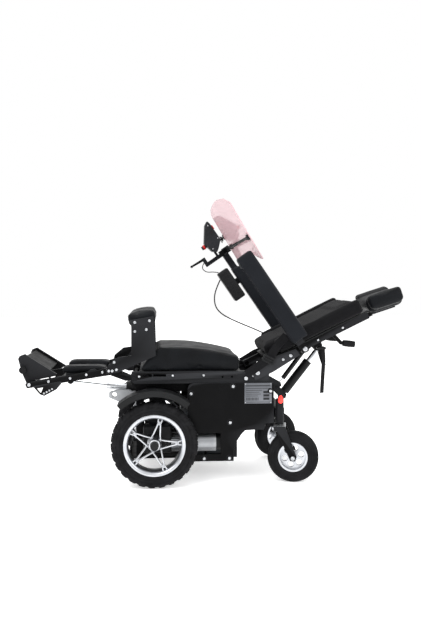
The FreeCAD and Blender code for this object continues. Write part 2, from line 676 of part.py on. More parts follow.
def joystick_knob():
    ball = Part.makeSphere(7, Vector(-316, ARM_Y, 6))
    stem = rod_z(-316, ARM_Y, 4, (6, 36))
    boot = Part.makeCone(16, 8, 8, Vector(-316, ARM_Y, 22))
    head = Part.makeCylinder(14, 14, Vector(-316, ARM_Y, 33))
    head = head.makeFillet(5, head.Edges)
    whole = join([ball, stem, boot, head])
    return on_arm(whole.cut(rod_y((-316, 6), 2 + RUN_GAP, (ARM_Y - 12, ARM_Y + 12))))


def pod_button():
    return on_arm(soft_box((-398, -376), (ARM_Y - 24, ARM_Y - 8), (13.8, 21), 1.5))


def latch_lever():
    boss = rod_y((-281, -104), 9, (ARM_Y - 10, ARM_Y + 10))
    arm = plate([(-276, -100), (-283, -174), (-292, -174), (-289, -100)], (ARM_Y - 4, ARM_Y + 4))
    tee = rod_y((-287, -172), 6, (ARM_Y - 18, ARM_Y + 18))
    lever = join([boss, arm, tee]).cut(rod_y((-281, -104), 4 + RUN_GAP, (ARM_Y - 12, ARM_Y + 12)))
    return on_arm(lever)


def control_cable():
    """Lead from the control box down to the back frame beside the right arm's pivot."""
    route = [(49.5, 256.2, 857.9), (31, 262, 818), (20, 266, 770), (28, 262, 722), (62, 256, 688), (112, 250, 663),
             (166, 246, 640), (220, 240, 618), (272, 234, 594), (318, 230, 572), (350.6, 228.1, 558.9)]
    return cord([Vector(*p) for p in route], 3.0, 30.0)


def latch_cable():
    """Lead from the latch bar to the control box."""
    y = ARM_Y + 13
    route = [(-267.5, -113), (-256, -136), (-224, -128), (-206, -96), (-189.6, -79.6)]
    return on_arm(cord([Vector(x, y, z) for x, z in route], 2.0, 8.0))


def tray_bar():
    y, z = TRAY_PIVOT
    eye = rod(Vector(-269.5, y, z), Vector(-250.5, y, z), 9)
    thick = rod(Vector(-260, y - 3, z), Vector(-260, 0, z), 7.4)
    thin = rod(Vector(-260, 2, z), Vector(-260, -228, z), 6)
    clips = [box((-272, -248), (c - 8, c + 8), (z, z + 7.5)) for c in (150, -214)]
    whole = join([on_tray(join([thick, thin] + clips)), on_arm(eye)])
    return whole.cut(on_arm(rod(Vector(-275, y, z), Vector(-245, y, z), 4 + RUN_GAP)))


def tray_board():
    z = TRAY_PIVOT[1] + 7.5
    front = [(-436, 214), (-458, 160), (-470, 60), (-472, 0), (-470, -60), (-455, -160), (-424, -232)]
    rear = [(-150, -232), (-153, -205), (-178, -140), (-188, -60), (-190, 0), (-188, 70), (-181, 140), (-176, 214)]
    corners = [Vector(x, y, z) for x, y in front + rear]
    face = Part.Face(Part.makePolygon(corners + corners[:1]))
    return on_tray(face.extrude(Vector(0, 0, TRAY_T)))


# ---------------------------------------------------------------- leg rest
def leg_frame():
    parts = []
    for side in (-1, 1):
        y = tuple(sorted((side * LEG_RAIL_Y[0], side * LEG_RAIL_Y[1])))
        rail = [(-450, 34), (-454, 52), (-446, 59), (-190, 59), (-178, 66), (-160, 66), (-150, 58), (-88, 62),
                (-14, 14), (-14, -8), (-40, -6), (-100, 29)]
        parts.append(plate(rail, y))
        parts.append(rod_y((0, 0), 17, y))
        plate_y = tuple(sorted((side * KNEE_PLATE_Y[0], side * KNEE_PLATE_Y[1])))
        knee = [(-112, 40), (-97, 75), (-50, 102), (4, 100), (24, 217), (122, 212), (104, 81), (-58, 40)]
        parts.append(plate(knee, plate_y))
        bridge = tuple(sorted((side * LEG_RAIL_Y[0], side * KNEE_PLATE_Y[1])))
        parts.append(box((-110, -64), bridge, (42, 58)))
        gusset = plate([(-422, 36), (-400, 0), (-384, -9), (-330, 9), (-305, 30), (-305, 40), (-422, 40)],
                       tuple(sorted((side * LEG_RAIL_Y[1], side * (LEG_RAIL_Y[1] + 4)))))
        window = plate([(-408, 27), (-396, 6), (-383, 27)], tuple(sorted((side * 180, side * 195))))
        parts.append(gusset.cut(window))
    parts.append(rod_y(FOOT_HINGE, FOOT_PIN_R, (-188, 188)))
    parts.append(box((-306, -280), (-166, 166), (32, 54)))
    for y in ((-16, -10), (10, 16)):
        parts.append(plate([(-306, 40), (-302, 6), (-290, 0), (-278, 6), (-280, 40)], y))
    frame = join(parts)
    cuts = [rod_y((0, 0), PIVOT_PIN_R + RUN_GAP, (-186, 186))]
    shelves = [box((-640, -480), tuple(sorted((s * 66, s * 166))), (456, 461.9)) for s in (-1, 1)]
    return join([on_leg(carve(frame, cuts))] + shelves)


def calf_pads():
    pad = soft_box((-660, -470), (-160, -64), (462, 490), 10)
    return Part.makeCompound(pair(pad))


def knee_pads():
    pad = soft_box((12, 134), (-221.5, -16), (216, 276), 18)
    return Part.makeCompound([on_leg(s) for s in pair(pad)])


def footplate():
    """Sole plate between two side blocks, hinged on the pin between the leg rails."""
    outline = [(-468, 161), (-460, 172), (-438, 176), (-321, 70), (-345, 62), (-424, 61), (-425, 50),
               (-451, 50), (-464, 104)]
    side_blocks = []
    for side in (-1, 1):
        y = tuple(sorted((side * 148, side * 163)))
        side_blocks.append(plate(outline, y))
    sole = plate([(-452, 156), (-440, 166), (-356, 90), (-366, 80)], (-150, 150))
    beam = plate([(-451, 50), (-425, 50), (-408, 64), (-392, 64), (-392, 84), (-448, 84)], (-150, 150))
    sleeve = rod_y(FOOT_HINGE, 13, (-163, 163))
    cuts = [rod_y(ROLLER, 5 + RUN_GAP, (-170, 170)), rod_y(FOOT_HINGE, FOOT_PIN_R + RUN_GAP, (-170, 170))]
    return on_leg(carve(join(side_blocks + [sole, beam, sleeve]), cuts))


def foot_roller():
    centre = ROLLER
    drums = []
    for side in (-1, 1):
        drums.append(rod_y(centre, 15, tuple(sorted((side * 164, side * 182)))))
    shaft = rod_y(centre, 5, (-182, 182))
    return on_leg(join(drums + [shaft]))


# ---------------------------------------------------------------- write
def nodes():
    found = {
        "chassis_frame": chassis_frame(), "battery_pack": battery_pack(),
        "power_module": power_module(), "front_bracket": front_bracket(),
        "marker_lights": marker_lights(),
        "lift_actuator": lift_actuator(), "lift_rod": lift_rod(),
        "leg_actuator": leg_actuator(), "leg_rod": leg_rod(),
        "recline_actuator": recline_actuator(), "recline_rod": recline_rod(),
        "gas_spring_rod": gas_spring_rod(), "gas_spring_tube": gas_spring_tube(),
        "seat_frame": seat_frame(), "seat_cushion": seat_cushion(),
        "seat_belt": seat_belt(), "belt_buckle": belt_buckle(),
        "back_frame": back_frame(), "back_shell": back_shell(), "back_cushion": back_cushion(),
        "back_bolsters": back_bolsters(), "headrest_pad": headrest_pad(),
        "push_grips": push_grips(),
        "joystick_mount": joystick_mount(), "control_box": control_box(), "joystick_pod": joystick_pod(),
        "joystick_knob": joystick_knob(), "pod_button": pod_button(), "latch_lever": latch_lever(),
        "control_cable": control_cable(), "latch_cable": latch_cable(),
        "tray_bar": tray_bar(), "tray_board": tray_board(),
        "leg_frame": leg_frame(), "calf_pads": calf_pads(), "knee_pads": knee_pads(),
        "footplate": footplate(), "foot_roller": foot_roller(),
    }
    handed = {"side_panel": side_panel(), "motor": motor(), "release_lever": release_lever(),
              "fender": fender(), "tyre": drive_tyre(), "rim": drive_rim()}
    for name, shape in handed.items():
        found[name + "_left"] = shape
        found[name + "_right"] = mirrored(shape)
    for name, maker in (("caster_fork", caster_fork), ("caster_tyre", caster_tyre), ("caster_rim", caster_rim)):
        found[name + "_left"] = maker("left")
        found[name + "_right"] = mirrored(maker("right"))
    for side in ("left", "right"):
        found["arm_frame_" + side] = arm_frame(side)
        found["arm_pad_" + side] = arm_pad(side)
    return found


def main():
    os.makedirs("parts", exist_ok=True)
    for name, shape in nodes().items():
        shape.exportStep(os.path.join("parts", name + ".step"))


main()
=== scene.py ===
"""Power wheelchair lying flat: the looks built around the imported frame."""
import json
import math

import bmesh
import bpy
from mathutils import Matrix, Vector


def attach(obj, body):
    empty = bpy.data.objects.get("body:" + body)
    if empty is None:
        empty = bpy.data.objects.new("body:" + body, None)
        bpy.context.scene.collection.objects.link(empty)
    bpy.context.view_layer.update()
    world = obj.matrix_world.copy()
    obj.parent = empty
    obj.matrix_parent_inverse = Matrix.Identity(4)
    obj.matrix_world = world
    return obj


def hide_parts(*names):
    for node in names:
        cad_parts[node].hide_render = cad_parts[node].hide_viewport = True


bl_info = {
    "name": "Power Wheelchair",
    "version": (1, 0, 0),
    "blender": (4, 5, 0),
    "location": "3D View > Sidebar > Wheelchair",
    "description": "Builds the covers, tyres, pads and finishes of a reclining power wheelchair",
    "category": "Add Mesh",
}

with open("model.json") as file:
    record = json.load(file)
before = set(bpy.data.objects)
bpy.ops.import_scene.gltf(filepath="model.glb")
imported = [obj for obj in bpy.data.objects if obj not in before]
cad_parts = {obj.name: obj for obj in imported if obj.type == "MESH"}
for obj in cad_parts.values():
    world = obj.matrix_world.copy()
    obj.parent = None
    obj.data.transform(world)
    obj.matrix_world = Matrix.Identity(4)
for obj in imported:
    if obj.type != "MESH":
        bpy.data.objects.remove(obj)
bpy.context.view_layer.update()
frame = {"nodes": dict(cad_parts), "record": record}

MM = 0.001
PIVOT = Vector((-0.350, 0.0, 0.443))       # knee axis
HINGE = Vector((0.168, 0.0, 0.464))        # backrest hinge
ARM_MID = Vector((0.216, 0.0, 0.7815))
BACK_TURN = math.radians(26.0)
LEG_TURN = math.radians(9.5)
ARM_TURN = math.radians(-55.5)
WHEEL_CENTRE = Vector((-0.267, -0.280, 0.180))
SIDES = (("left", -1), ("right", 1))       # name and sign of Y
SPOKE_ANGLES = [math.radians(5 + 72 * i) for i in range(5)]
BOLT_CIRCLE = 0.093                        # radius of the rim bolts
# How far from the middle the bolted faces lie
PANEL_FACE = 0.2320
KNEE_PLATE_FACE = 0.228
KNEE_TAB_FACE = 0.2276
LEG_RAIL_FACE = 0.185
LEG_SLIDE_FACE = 0.189
FOOT_PIVOT_FACE = 0.188
SEAT_RAIL_FACE = 0.217
BELT_BOLT_FACE = 0.2295             # over the end of the lap strap
BACK_LINK_FACE = 0.223
BACK_RAIL_FACE = 0.171


# ------------------------------------------------------------------ frames of reference
def side_turn(angle):
    """Rotation in the side view, counter-clockwise with +X right and +Z up."""
    return Matrix.Rotation(angle, 4, Vector((0, -1, 0)))


ON_BASE = Matrix.Identity(4)
ON_BACK = Matrix.Translation(HINGE) @ side_turn(BACK_TURN)
ON_LEG = Matrix.Translation(PIVOT) @ side_turn(LEG_TURN)
ON_ARM = Matrix.Translation(ARM_MID) @ side_turn(ARM_TURN)


# ------------------------------------------------------------------ materials
def linear(hex_colour):
    """sRGB hex such as "1a2b3c" to linear RGBA."""
    channels = []
    for i in (0, 2, 4):
        c = int(hex_colour[i:i + 2], 16) / 255
        channels.append(c / 12.92 if c <= 0.04045 else ((c + 0.055) / 1.055) ** 2.4)
    return (*channels, 1.0)


def add(tree, kind, settings=None, links=None):
    """Adds one node: settings are attributes or input values, links are input name to output socket."""
    node = tree.nodes.new(kind)
    for key, value in (settings or {}).items():
        if isinstance(key, str) and hasattr(node, key):
            setattr(node, key, value)
        else:
            node.inputs[key].default_value = value
    for key, socket in (links or {}).items():
        tree.links.new(socket, node.inputs[key])
    return node


def surface(name, **sockets):
    """A material with a Principled shader and these socket values; gives material, tree and shader."""
    material = bpy.data.materials.new(name)
    material.use_nodes = True
    tree = material.node_tree
    shader = tree.nodes["Principled BSDF"]
    for key, value in sockets.items():
        shader.inputs[key.replace("_", " ")].default_value = value
    return material, tree, shader


def place(tree):
    """The object's own coordinates, so that a texture moves with its piece."""
    return add(tree, "ShaderNodeTexCoord").outputs["Object"]


def mottle(tree, shader, low, high, scale, socket="Base Color", detail=4.0):
    """Slow variation between two values over the surface."""
    noise = add(tree, "ShaderNodeTexNoise", {"Scale": scale, "Detail": detail}, {"Vector": place(tree)})
    ramp = add(tree, "ShaderNodeValToRGB", {}, {"Fac": noise.outputs["Fac"]})
    ramp.color_ramp.elements[0].position = 0.3
    ramp.color_ramp.elements[1].position = 0.7
    ramp.color_ramp.elements[0].color = low if isinstance(low, tuple) else (low, low, low, 1)
    ramp.color_ramp.elements[1].color = high if isinstance(high, tuple) else (high, high, high, 1)
    tree.links.new(ramp.outputs["Color"], shader.inputs[socket])
    return ramp


def bump(tree, shader, height, depth_mm, strength=0.5):
    """Relief of this depth from a height socket."""
    node = add(tree, "ShaderNodeBump", {"Strength": strength, "Distance": depth_mm * MM}, {"Height": height})
    tree.links.new(node.outputs["Normal"], shader.inputs["Normal"])


def worn_edges(tree, shader, ramp, bare):
    """Edges rubbed lighter, from the mesh's own curvature."""
    point = add(tree, "ShaderNodeNewGeometry").outputs["Pointiness"]
    mask = add(tree, "ShaderNodeMapRange",
               {"From Min": 0.52, "From Max": 0.60, "To Min": 0.0, "To Max": 0.55}, {"Value": point})
    mix = add(tree, "ShaderNodeMix", {"data_type": "RGBA"})
    mix.inputs[7].default_value = bare
    tree.links.new(mask.outputs[0], mix.inputs[0])
    tree.links.new(ramp.outputs["Color"], mix.inputs[6])
    tree.links.new(mix.outputs[2], shader.inputs["Base Color"])


def powder_coat(name, dark, light, rough=0.42, worn="3a3b3e"):
    """Powder-coated steel: fine orange peel about 1.2 mm across, soft broken highlights, rubbed edges."""
    material, tree, shader = surface(name, Roughness=rough, Specular_IOR_Level=0.07)
    ramp = mottle(tree, shader, linear(dark), linear(light), 9.0)
    mottle(tree, shader, rough - 0.07, rough + 0.09, 26.0, "Roughness")
    peel = add(tree, "ShaderNodeTexNoise", {"Scale": 1 / (1.2 * MM), "Detail": 2.0}, {"Vector": place(tree)})
    bump(tree, shader, peel.outputs["Fac"], 0.10, 0.35)
    worn_edges(tree, shader, ramp, linear(worn))
    return material


def moulded(name, dark, light, rough, grain_mm=1.0, depth_mm=0.08):
    """Moulded ABS or PA: even colour, spark-eroded texture of about grain_mm that breaks the highlight."""
    material, tree, shader = surface(name, Roughness=rough, Specular_IOR_Level=0.2)
    mottle(tree, shader, linear(dark), linear(light), 14.0)
    mottle(tree, shader, rough - 0.06, rough + 0.07, 40.0, "Roughness")
    cells = add(tree, "ShaderNodeTexVoronoi", {"Scale": 1 / (grain_mm * MM)}, {"Vector": place(tree)})
    bump(tree, shader, cells.outputs["Distance"], depth_mm, 0.4)
    return material


def metal(name, dark, light, rough, streak=None, grain_mm=0.8, depth_mm=0.03):
    """Bare metal: streak is the stretch of the turning or drawing marks along X, Y and Z."""
    material, tree, shader = surface(name, Metallic=1.0, Roughness=rough)
    mottle(tree, shader, linear(dark), linear(light), 12.0)
    vector = place(tree)
    if streak:
        vector = add(tree, "ShaderNodeMapping", {"Scale": streak}, {"Vector": vector}).outputs["Vector"]
    noise = add(tree, "ShaderNodeTexNoise", {"Scale": 1 / (grain_mm * MM), "Detail": 3.0}, {"Vector": vector})
    spread = add(tree, "ShaderNodeMapRange", {"To Min": rough - 0.08, "To Max": rough + 0.10},
                 {"Value": noise.outputs["Fac"]})
    tree.links.new(spread.outputs[0], shader.inputs["Roughness"])
    bump(tree, shader, noise.outputs["Fac"], depth_mm, 0.3)
    return material


def grained_skin(name, dark, light, rough, cell_mm=2.2, depth_mm=0.22, sheen=0.0):
    """PU leather or integral-skin foam: rounded pebbles about cell_mm across with darker creases."""
    material, tree, shader = surface(name, Roughness=rough, Specular_IOR_Level=0.08, Sheen_Weight=sheen,
                                     Sheen_Roughness=0.5)
    mottle(tree, shader, linear(dark), linear(light), 11.0)
    mottle(tree, shader, rough - 0.06, rough + 0.10, 18.0, "Roughness")
    cells = add(tree, "ShaderNodeTexVoronoi", {"Scale": 1 / (cell_mm * MM), "feature": "SMOOTH_F1"},
                {"Vector": place(tree)})
    soft = add(tree, "ShaderNodeTexNoise", {"Scale": 22.0, "Detail": 3.0}, {"Vector": place(tree)})
    total = add(tree, "ShaderNodeMath", {"operation": "MULTIPLY_ADD", 1: 2.2},
                {0: soft.outputs["Fac"], 2: cells.outputs["Distance"]})
    bump(tree, shader, total.outputs[0], depth_mm, 0.35)
    return material


def woven(name, dark, light, thread_mm, rough=0.85):
    """Woven polyester or nylon: plain weave, threads drawn at thread_mm, with a soft fibre sheen."""
    material, tree, shader = surface(name, Roughness=rough, Specular_IOR_Level=0.1, Sheen_Weight=0.03,
                                     Sheen_Roughness=0.45)
    scale = 1 / (thread_mm * MM) / 20.0 * math.pi
    waves = []
    for axis in ("X", "Y", "Z"):
        wave = add(tree, "ShaderNodeTexWave",
                   {"Scale": scale, "bands_direction": axis, "Distortion": 0.3, "Detail": 1.0},
                   {"Vector": place(tree)})
        waves.append(wave.outputs["Fac"])
    pair = add(tree, "ShaderNodeMath", {"operation": "MULTIPLY"}, {0: waves[0], 1: waves[1]})
    total = add(tree, "ShaderNodeMath", {"operation": "MAXIMUM"}, {0: pair.outputs[0], 1: waves[2]})
    ramp = add(tree, "ShaderNodeValToRGB", {}, {"Fac": total.outputs[0]})
    ramp.color_ramp.elements[0].color = linear(dark)
    ramp.color_ramp.elements[1].color = linear(light)
    tree.links.new(ramp.outputs["Color"], shader.inputs["Base Color"])
    bump(tree, shader, total.outputs[0], thread_mm * 0.35, 0.6)
    return material


def tyre_rubber():
    """Carbon-black tyre rubber: matt, greyed with dust, fine mould texture."""
    material, tree, shader = surface("tyre_rubber", Roughness=0.78, Specular_IOR_Level=0.12)
    mottle(tree, shader, linear("0b0b0c"), linear("18181a"), 16.0, detail=8.0)
    mottle(tree, shader, 0.62, 0.88, 34.0, "Roughness")
    noise = add(tree, "ShaderNodeTexNoise", {"Scale": 900.0, "Detail": 3.0}, {"Vector": place(tree)})
    bump(tree, shader, noise.outputs["Fac"], 0.25, 0.5)
    return material


def tinted_acrylic():
    """Cast acrylic sheet with a light rose tint: clear, glossy, deeper colour along its cut edge."""
    material, tree, shader = surface("tinted_acrylic", Roughness=0.06, IOR=1.49, Alpha=0.72,
                                     Specular_IOR_Level=0.2)
    mottle(tree, shader, linear("c9a4aa"), linear("d2b0b5"), 5.0)
    noise = add(tree, "ShaderNodeTexNoise", {"Scale": 6.0, "Detail": 1.0}, {"Vector": place(tree)})
    bump(tree, shader, noise.outputs["Fac"], 0.05, 0.2)
    return material


def red_lens():
    """Clear red acrylic over a lit lamp: glows evenly with moulded prisms."""
    material, tree, shader = surface("lamp_lens", Roughness=0.15, Emission_Color=linear("ff2a20"),
                                     Emission_Strength=1.4)
    mottle(tree, shader, linear("c8120e"), linear("f03a30"), 60.0)
    wave = add(tree, "ShaderNodeTexWave", {"Scale": 60.0, "bands_direction": "Z"}, {"Vector": place(tree)})
    bump(tree, shader, wave.outputs["Fac"], 0.4, 0.5)
    return material


M = {}          # finishes by short name, filled by make_materials


def make_materials():
    """Every finish, with the colours that the panel offers."""
    chair = bpy.context.scene.wheelchair_finish
    M["frame"] = powder_coat("powder_coated_steel", chair.frame_hex, "0a0a0b")
    M["panel"] = powder_coat("powder_coated_sheet", "040405", "070708", 0.34)
    M["abs"] = moulded("moulded_abs", "08090a", "101113", 0.48)
    M["abs_grey"] = moulded("moulded_abs_grey", "15171a", "202327", 0.45)
    M["battery"] = moulded("battery_case_pp", "33363a", "44474b", 0.55, 1.4, 0.12)
    M["rim"] = metal("lacquered_cast_alloy", "a9abaf", chair.rim_hex, 0.30)
    M["cast"] = metal("cast_aluminium", "8b8d90", "b2b4b7", 0.42, None, 1.1, 0.08)
    M["tube"] = metal("anodised_aluminium", "b3b5b8", "cfd1d4", 0.28, (0.05, 1.0, 1.0))
    M["steel"] = metal("zinc_plated_steel", "9fa1a4", "c9cbce", 0.30)
    M["chrome"] = metal("ground_chrome_rod", "d5d7da", "e8eaec", 0.12, (0.05, 1.0, 1.0))
    M["module"] = metal("black_anodised_aluminium", "1a1b1d", "26272a", 0.40)
    M["plate"] = metal("satin_label_aluminium", "5a5c60", "6c6e73", 0.38, (0.05, 1.0, 1.0))
    M["seat_skin"] = grained_skin("pu_leather", "090a0c", "101215", 0.46, 2.0, 0.25, 0.02)
    M["pad_skin"] = grained_skin("integral_skin_foam", chair.pad_hex, "15171b", 0.58, 1.6, 0.2, 0.03)
    M["cloth"] = woven("woven_polyester", "060607", "111113", 1.6)
    M["webbing"] = woven("woven_nylon_webbing", "070708", "18181a", 1.4)
    M["tyre"] = tyre_rubber()
    M["grip"] = grained_skin("ribbed_rubber", "111112", "1a1a1b", 0.7, 1.2, 0.3)
    M["acrylic"] = tinted_acrylic()
    M["lamp"] = red_lens()
    M["red"] = moulded("moulded_abs_red", "a8120f", "c41a15", 0.32)
    M["sheath"] = moulded("pvc_cable_sheath", "0a0a0b", "121213", 0.5, 0.6, 0.03)
    M["label_ink"] = moulded("printed_label_ink", "17181a", "222326", 0.5, 0.5, 0.02)
    M["floor"] = surface("studio_floor", Roughness=0.6, Base_Color=linear("ffffff"),
                         Emission_Color=(1, 1, 1, 1), Emission_Strength=0.45)[0]


# ------------------------------------------------------------------ mesh helpers
def new_piece(name, bm, material, body, where=ON_BASE, smooth=True):
    """A mesh object in one material, riding on its body, with its slot named."""
    mesh = bpy.data.meshes.new(name)
    bm.transform(where)
    bm.to_mesh(mesh)
    bm.free()
    for face in mesh.polygons:
        face.use_smooth = smooth
    piece = bpy.data.objects.new(name, mesh)
    bpy.context.collection.objects.link(piece)
    mesh.materials.append(material)
    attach(piece, body)
    return piece


def apply_modifiers(piece):
    """Bakes the modifiers into the mesh."""
    bpy.context.view_layer.update()
    graph = bpy.context.evaluated_depsgraph_get()
    mesh = bpy.data.meshes.new_from_object(piece.evaluated_get(graph))
    piece.modifiers.clear()
    piece.data = mesh


def auto_smooth(mesh, degrees=32.0):
    """Smooth faces with sharp edges where faces meet at more than this angle."""
    bm = bmesh.new()
    bm.from_mesh(mesh)
    limit = math.radians(degrees)
    for edge in bm.edges:
        edge.smooth = len(edge.link_faces) == 2 and edge.calc_face_angle(0.0) < limit
    for face in bm.faces:
        face.smooth = True
    bm.to_mesh(mesh)
    bm.free()


def weigh_normals(piece):
    """Large flat faces keep their own direction beside the small edge radii."""
    weighted = piece.modifiers.new("normals", "WEIGHTED_NORMAL")
    weighted.keep_sharp = True
    apply_modifiers(piece)


def broken_edges(piece, width_mm, degrees=None):
    """Small radius on edges sharper than this angle, or than Blender's own limit when none is given."""
    bevel = piece.modifiers.new("edges", "BEVEL")
    bevel.width = width_mm * MM
    bevel.segments = 2
    bevel.limit_method = "ANGLE"
    if degrees:
        bevel.angle_limit = math.radians(degrees)
    apply_modifiers(piece)


def eased(node, material, body, width_mm=1.2):
    """The CAD node with its edges broken by a small radius, as the real part's are."""
    source = frame["nodes"][node]
    bm = bmesh.new()
    bm.from_mesh(source.data)
    bmesh.ops.remove_doubles(bm, verts=bm.verts, dist=0.02 * MM)
    bmesh.ops.dissolve_limit(bm, angle_limit=math.radians(0.6), verts=bm.verts, edges=bm.edges)
    piece = new_piece(node + "_finished", bm, material, body)
    broken_edges(piece, width_mm, 35)
    auto_smooth(piece.data)
    weigh_normals(piece)
    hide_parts(node)
    return piece


def spin(bm, profile, centre, segments=96):
    """Closed ring of (radius, across) points about a Y axis through centre."""
    rings = []
    for i in range(segments):
        a = 2 * math.pi * i / segments
        ring = []
        for r, across in profile:
            ring.append(bm.verts.new((centre[0] + r * math.cos(a), across, centre[2] + r * math.sin(a))))
        rings.append(ring)
    count = len(profile)
    for i in range(segments):
        one, two = rings[i], rings[(i + 1) % segments]
        for k in range(count):
            m = (k + 1) % count
            bm.faces.new((one[k], one[m], two[m], two[k]))


def loft(bm, sections, closed=True):
    """Skin between rings of the same number of points, with end caps when closed."""
    rings = [[bm.verts.new(p) for p in ring] for ring in sections]
    for one, two in zip(rings, rings[1:]):
        for k in range(len(one)):
            m = (k + 1) % len(one)
            bm.faces.new((one[k], one[m], two[m], two[k]))
    if closed:
        bm.faces.new(rings[0][::-1])
        bm.faces.new(rings[-1])


def subdivided(piece, levels=2):
    """Smooths the mesh by subdivision."""
    modifier = piece.modifiers.new("smooth", "SUBSURF")
    modifier.levels = modifier.render_levels = levels
    apply_modifiers(piece)


def bolt_head(bm, at, normal, radius, height, sides=20):
    """Button head screw with a hexagon socket."""
    normal = Vector(normal).normalized()
    side = normal.orthogonal().normalized()
    up = normal.cross(side)
    rings = [(1.0, 0.0, 0), (1.0, 0.35, 0), (0.9, 0.72, 0), (0.66, 0.97, 0), (0.50, 1.0, 1), (0.46, 0.45, 1)]
    last = None
    for reach, rise, hexed in rings:
        ring = []
        for i in range(sides):
            a = 2 * math.pi * i / sides
            r = radius * reach
            if hexed:
                b = (a + math.pi / 6) % (math.pi / 3) - math.pi / 6
                r *= math.cos(math.pi / 6) / math.cos(b)
            ring.append(bm.verts.new(Vector(at) + side * (r * math.cos(a)) + up * (r * math.sin(a))
                                     + normal * (height * rise)))
        if last:
            for k in range(sides):
                m = (k + 1) % sides
                bm.faces.new((last[k], last[m], ring[m], ring[k]))
        last = ring
    bm.faces.new(last)


# ------------------------------------------------------------------ wheels
def tyre_section(r_in, r_out, width, shoulder):
    """One side of a tyre outline, bead to tread, as (radius, across) from its middle."""
    h = width / 2
    tall = r_out - r_in
    return [(r_in, h * 0.74), (r_in + 0.05 * tall, h * 0.88), (r_in + 0.2 * tall, h * 0.95),
            ((r_in + r_out) / 2, h), (r_out - shoulder * 1.4, h * 0.985), (r_out - shoulder * 0.8, h * 0.93),
            (r_out - shoulder * 0.35, h * 0.80), (r_out - shoulder * 0.1, h * 0.55), (r_out, h * 0.2)]


def crown(points, across):
    """Radius of the tread surface at this distance from the middle."""
    ordered = sorted(points, key=lambda p: p[1])
    for (r0, a0), (r1, a1) in zip(ordered, ordered[1:]):
        if a0 <= across <= a1 and a1 > a0:
            return r0 + (r1 - r0) * (across - a0) / (a1 - a0)
    return ordered[0][0] if across < ordered[0][1] else ordered[-1][0]


def drive_wheel_place(side):
    """Sign of Y and the hub centre of one drive wheel."""
    s = -1 if side == "left" else 1
    return s, Vector((WHEEL_CENTRE.x, s * abs(WHEEL_CENTRE.y), WHEEL_CENTRE.z))


def wheel_point(centre, angle, radius, across):
    """Point at this angle and radius about the axle."""
    return centre + Vector((radius * math.cos(angle), across, radius * math.sin(angle)))


def build_drive_tyre(side):
    """Tyre with moulded sidewall rings and 26 pairs of chevron lugs."""
    centre = drive_wheel_place(side)[1]
    r_in, r_out, width, lug = 0.1275, 0.1755, 0.079, 0.0045
    right = tyre_section(r_in, r_out, width, 0.016)
    profile = [(r, centre.y + a) for r, a in right] + [(r, centre.y - a) for r, a in reversed(right)]
    bm = bmesh.new()
    spin(bm, profile, centre, 120)
    for ring_r, rise in ((0.136, 0.0011), (0.1425, 0.0008), (0.158, 0.0012)):
        for q in (-1, 1):
            a = width / 2 * (0.985 if ring_r > 0.14 else 0.93)
            spin(bm, [(ring_r - 0.0012, centre.y + q * (a - 0.001)), (ring_r, centre.y + q * (a + rise)),
                      (ring_r + 0.0012, centre.y + q * (a - 0.001))], centre, 96)
    tread = [p for p in right if p[0] > r_out - 0.024]
    count = 26
    for i in range(count):
        for q in (-1, 1):
            base = 2 * math.pi * (i + (0.5 if q > 0 else 0.0)) / count
            sections = []
            steps = [0.0015, 0.008, 0.015, 0.022, 0.028, 0.0325, 0.0362, 0.0385]
            for n, across in enumerate(steps):
                t = n / (len(steps) - 1)
                r = crown(tread, across) if across < width / 2 * 0.93 else r_out - 0.016
                if n == len(steps) - 1:
                    r = r_out - 0.0185
                lean = base + 0.115 * t
                half = (0.0075 + 0.0035 * t) / r_out
                rise = lug * (1.0 if t < 0.9 else 0.45)
                out = 0.0 if t < 0.8 else 0.0012
                ring = []
                for da, dr in ((-half, -0.003), (-half * 0.86, rise), (half * 0.86, rise), (half, -0.003)):
                    ring.append(wheel_point(centre, lean + da, r + dr, q * (across + out)))
                sections.append(ring if q > 0 else ring[::-1])
            loft(bm, sections)
    piece = new_piece(f"drive_tyre_{side}", bm, M["tyre"], f"drive_wheel_{side}")
    auto_smooth(piece.data, 38)
    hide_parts(f"tyre_{side}")


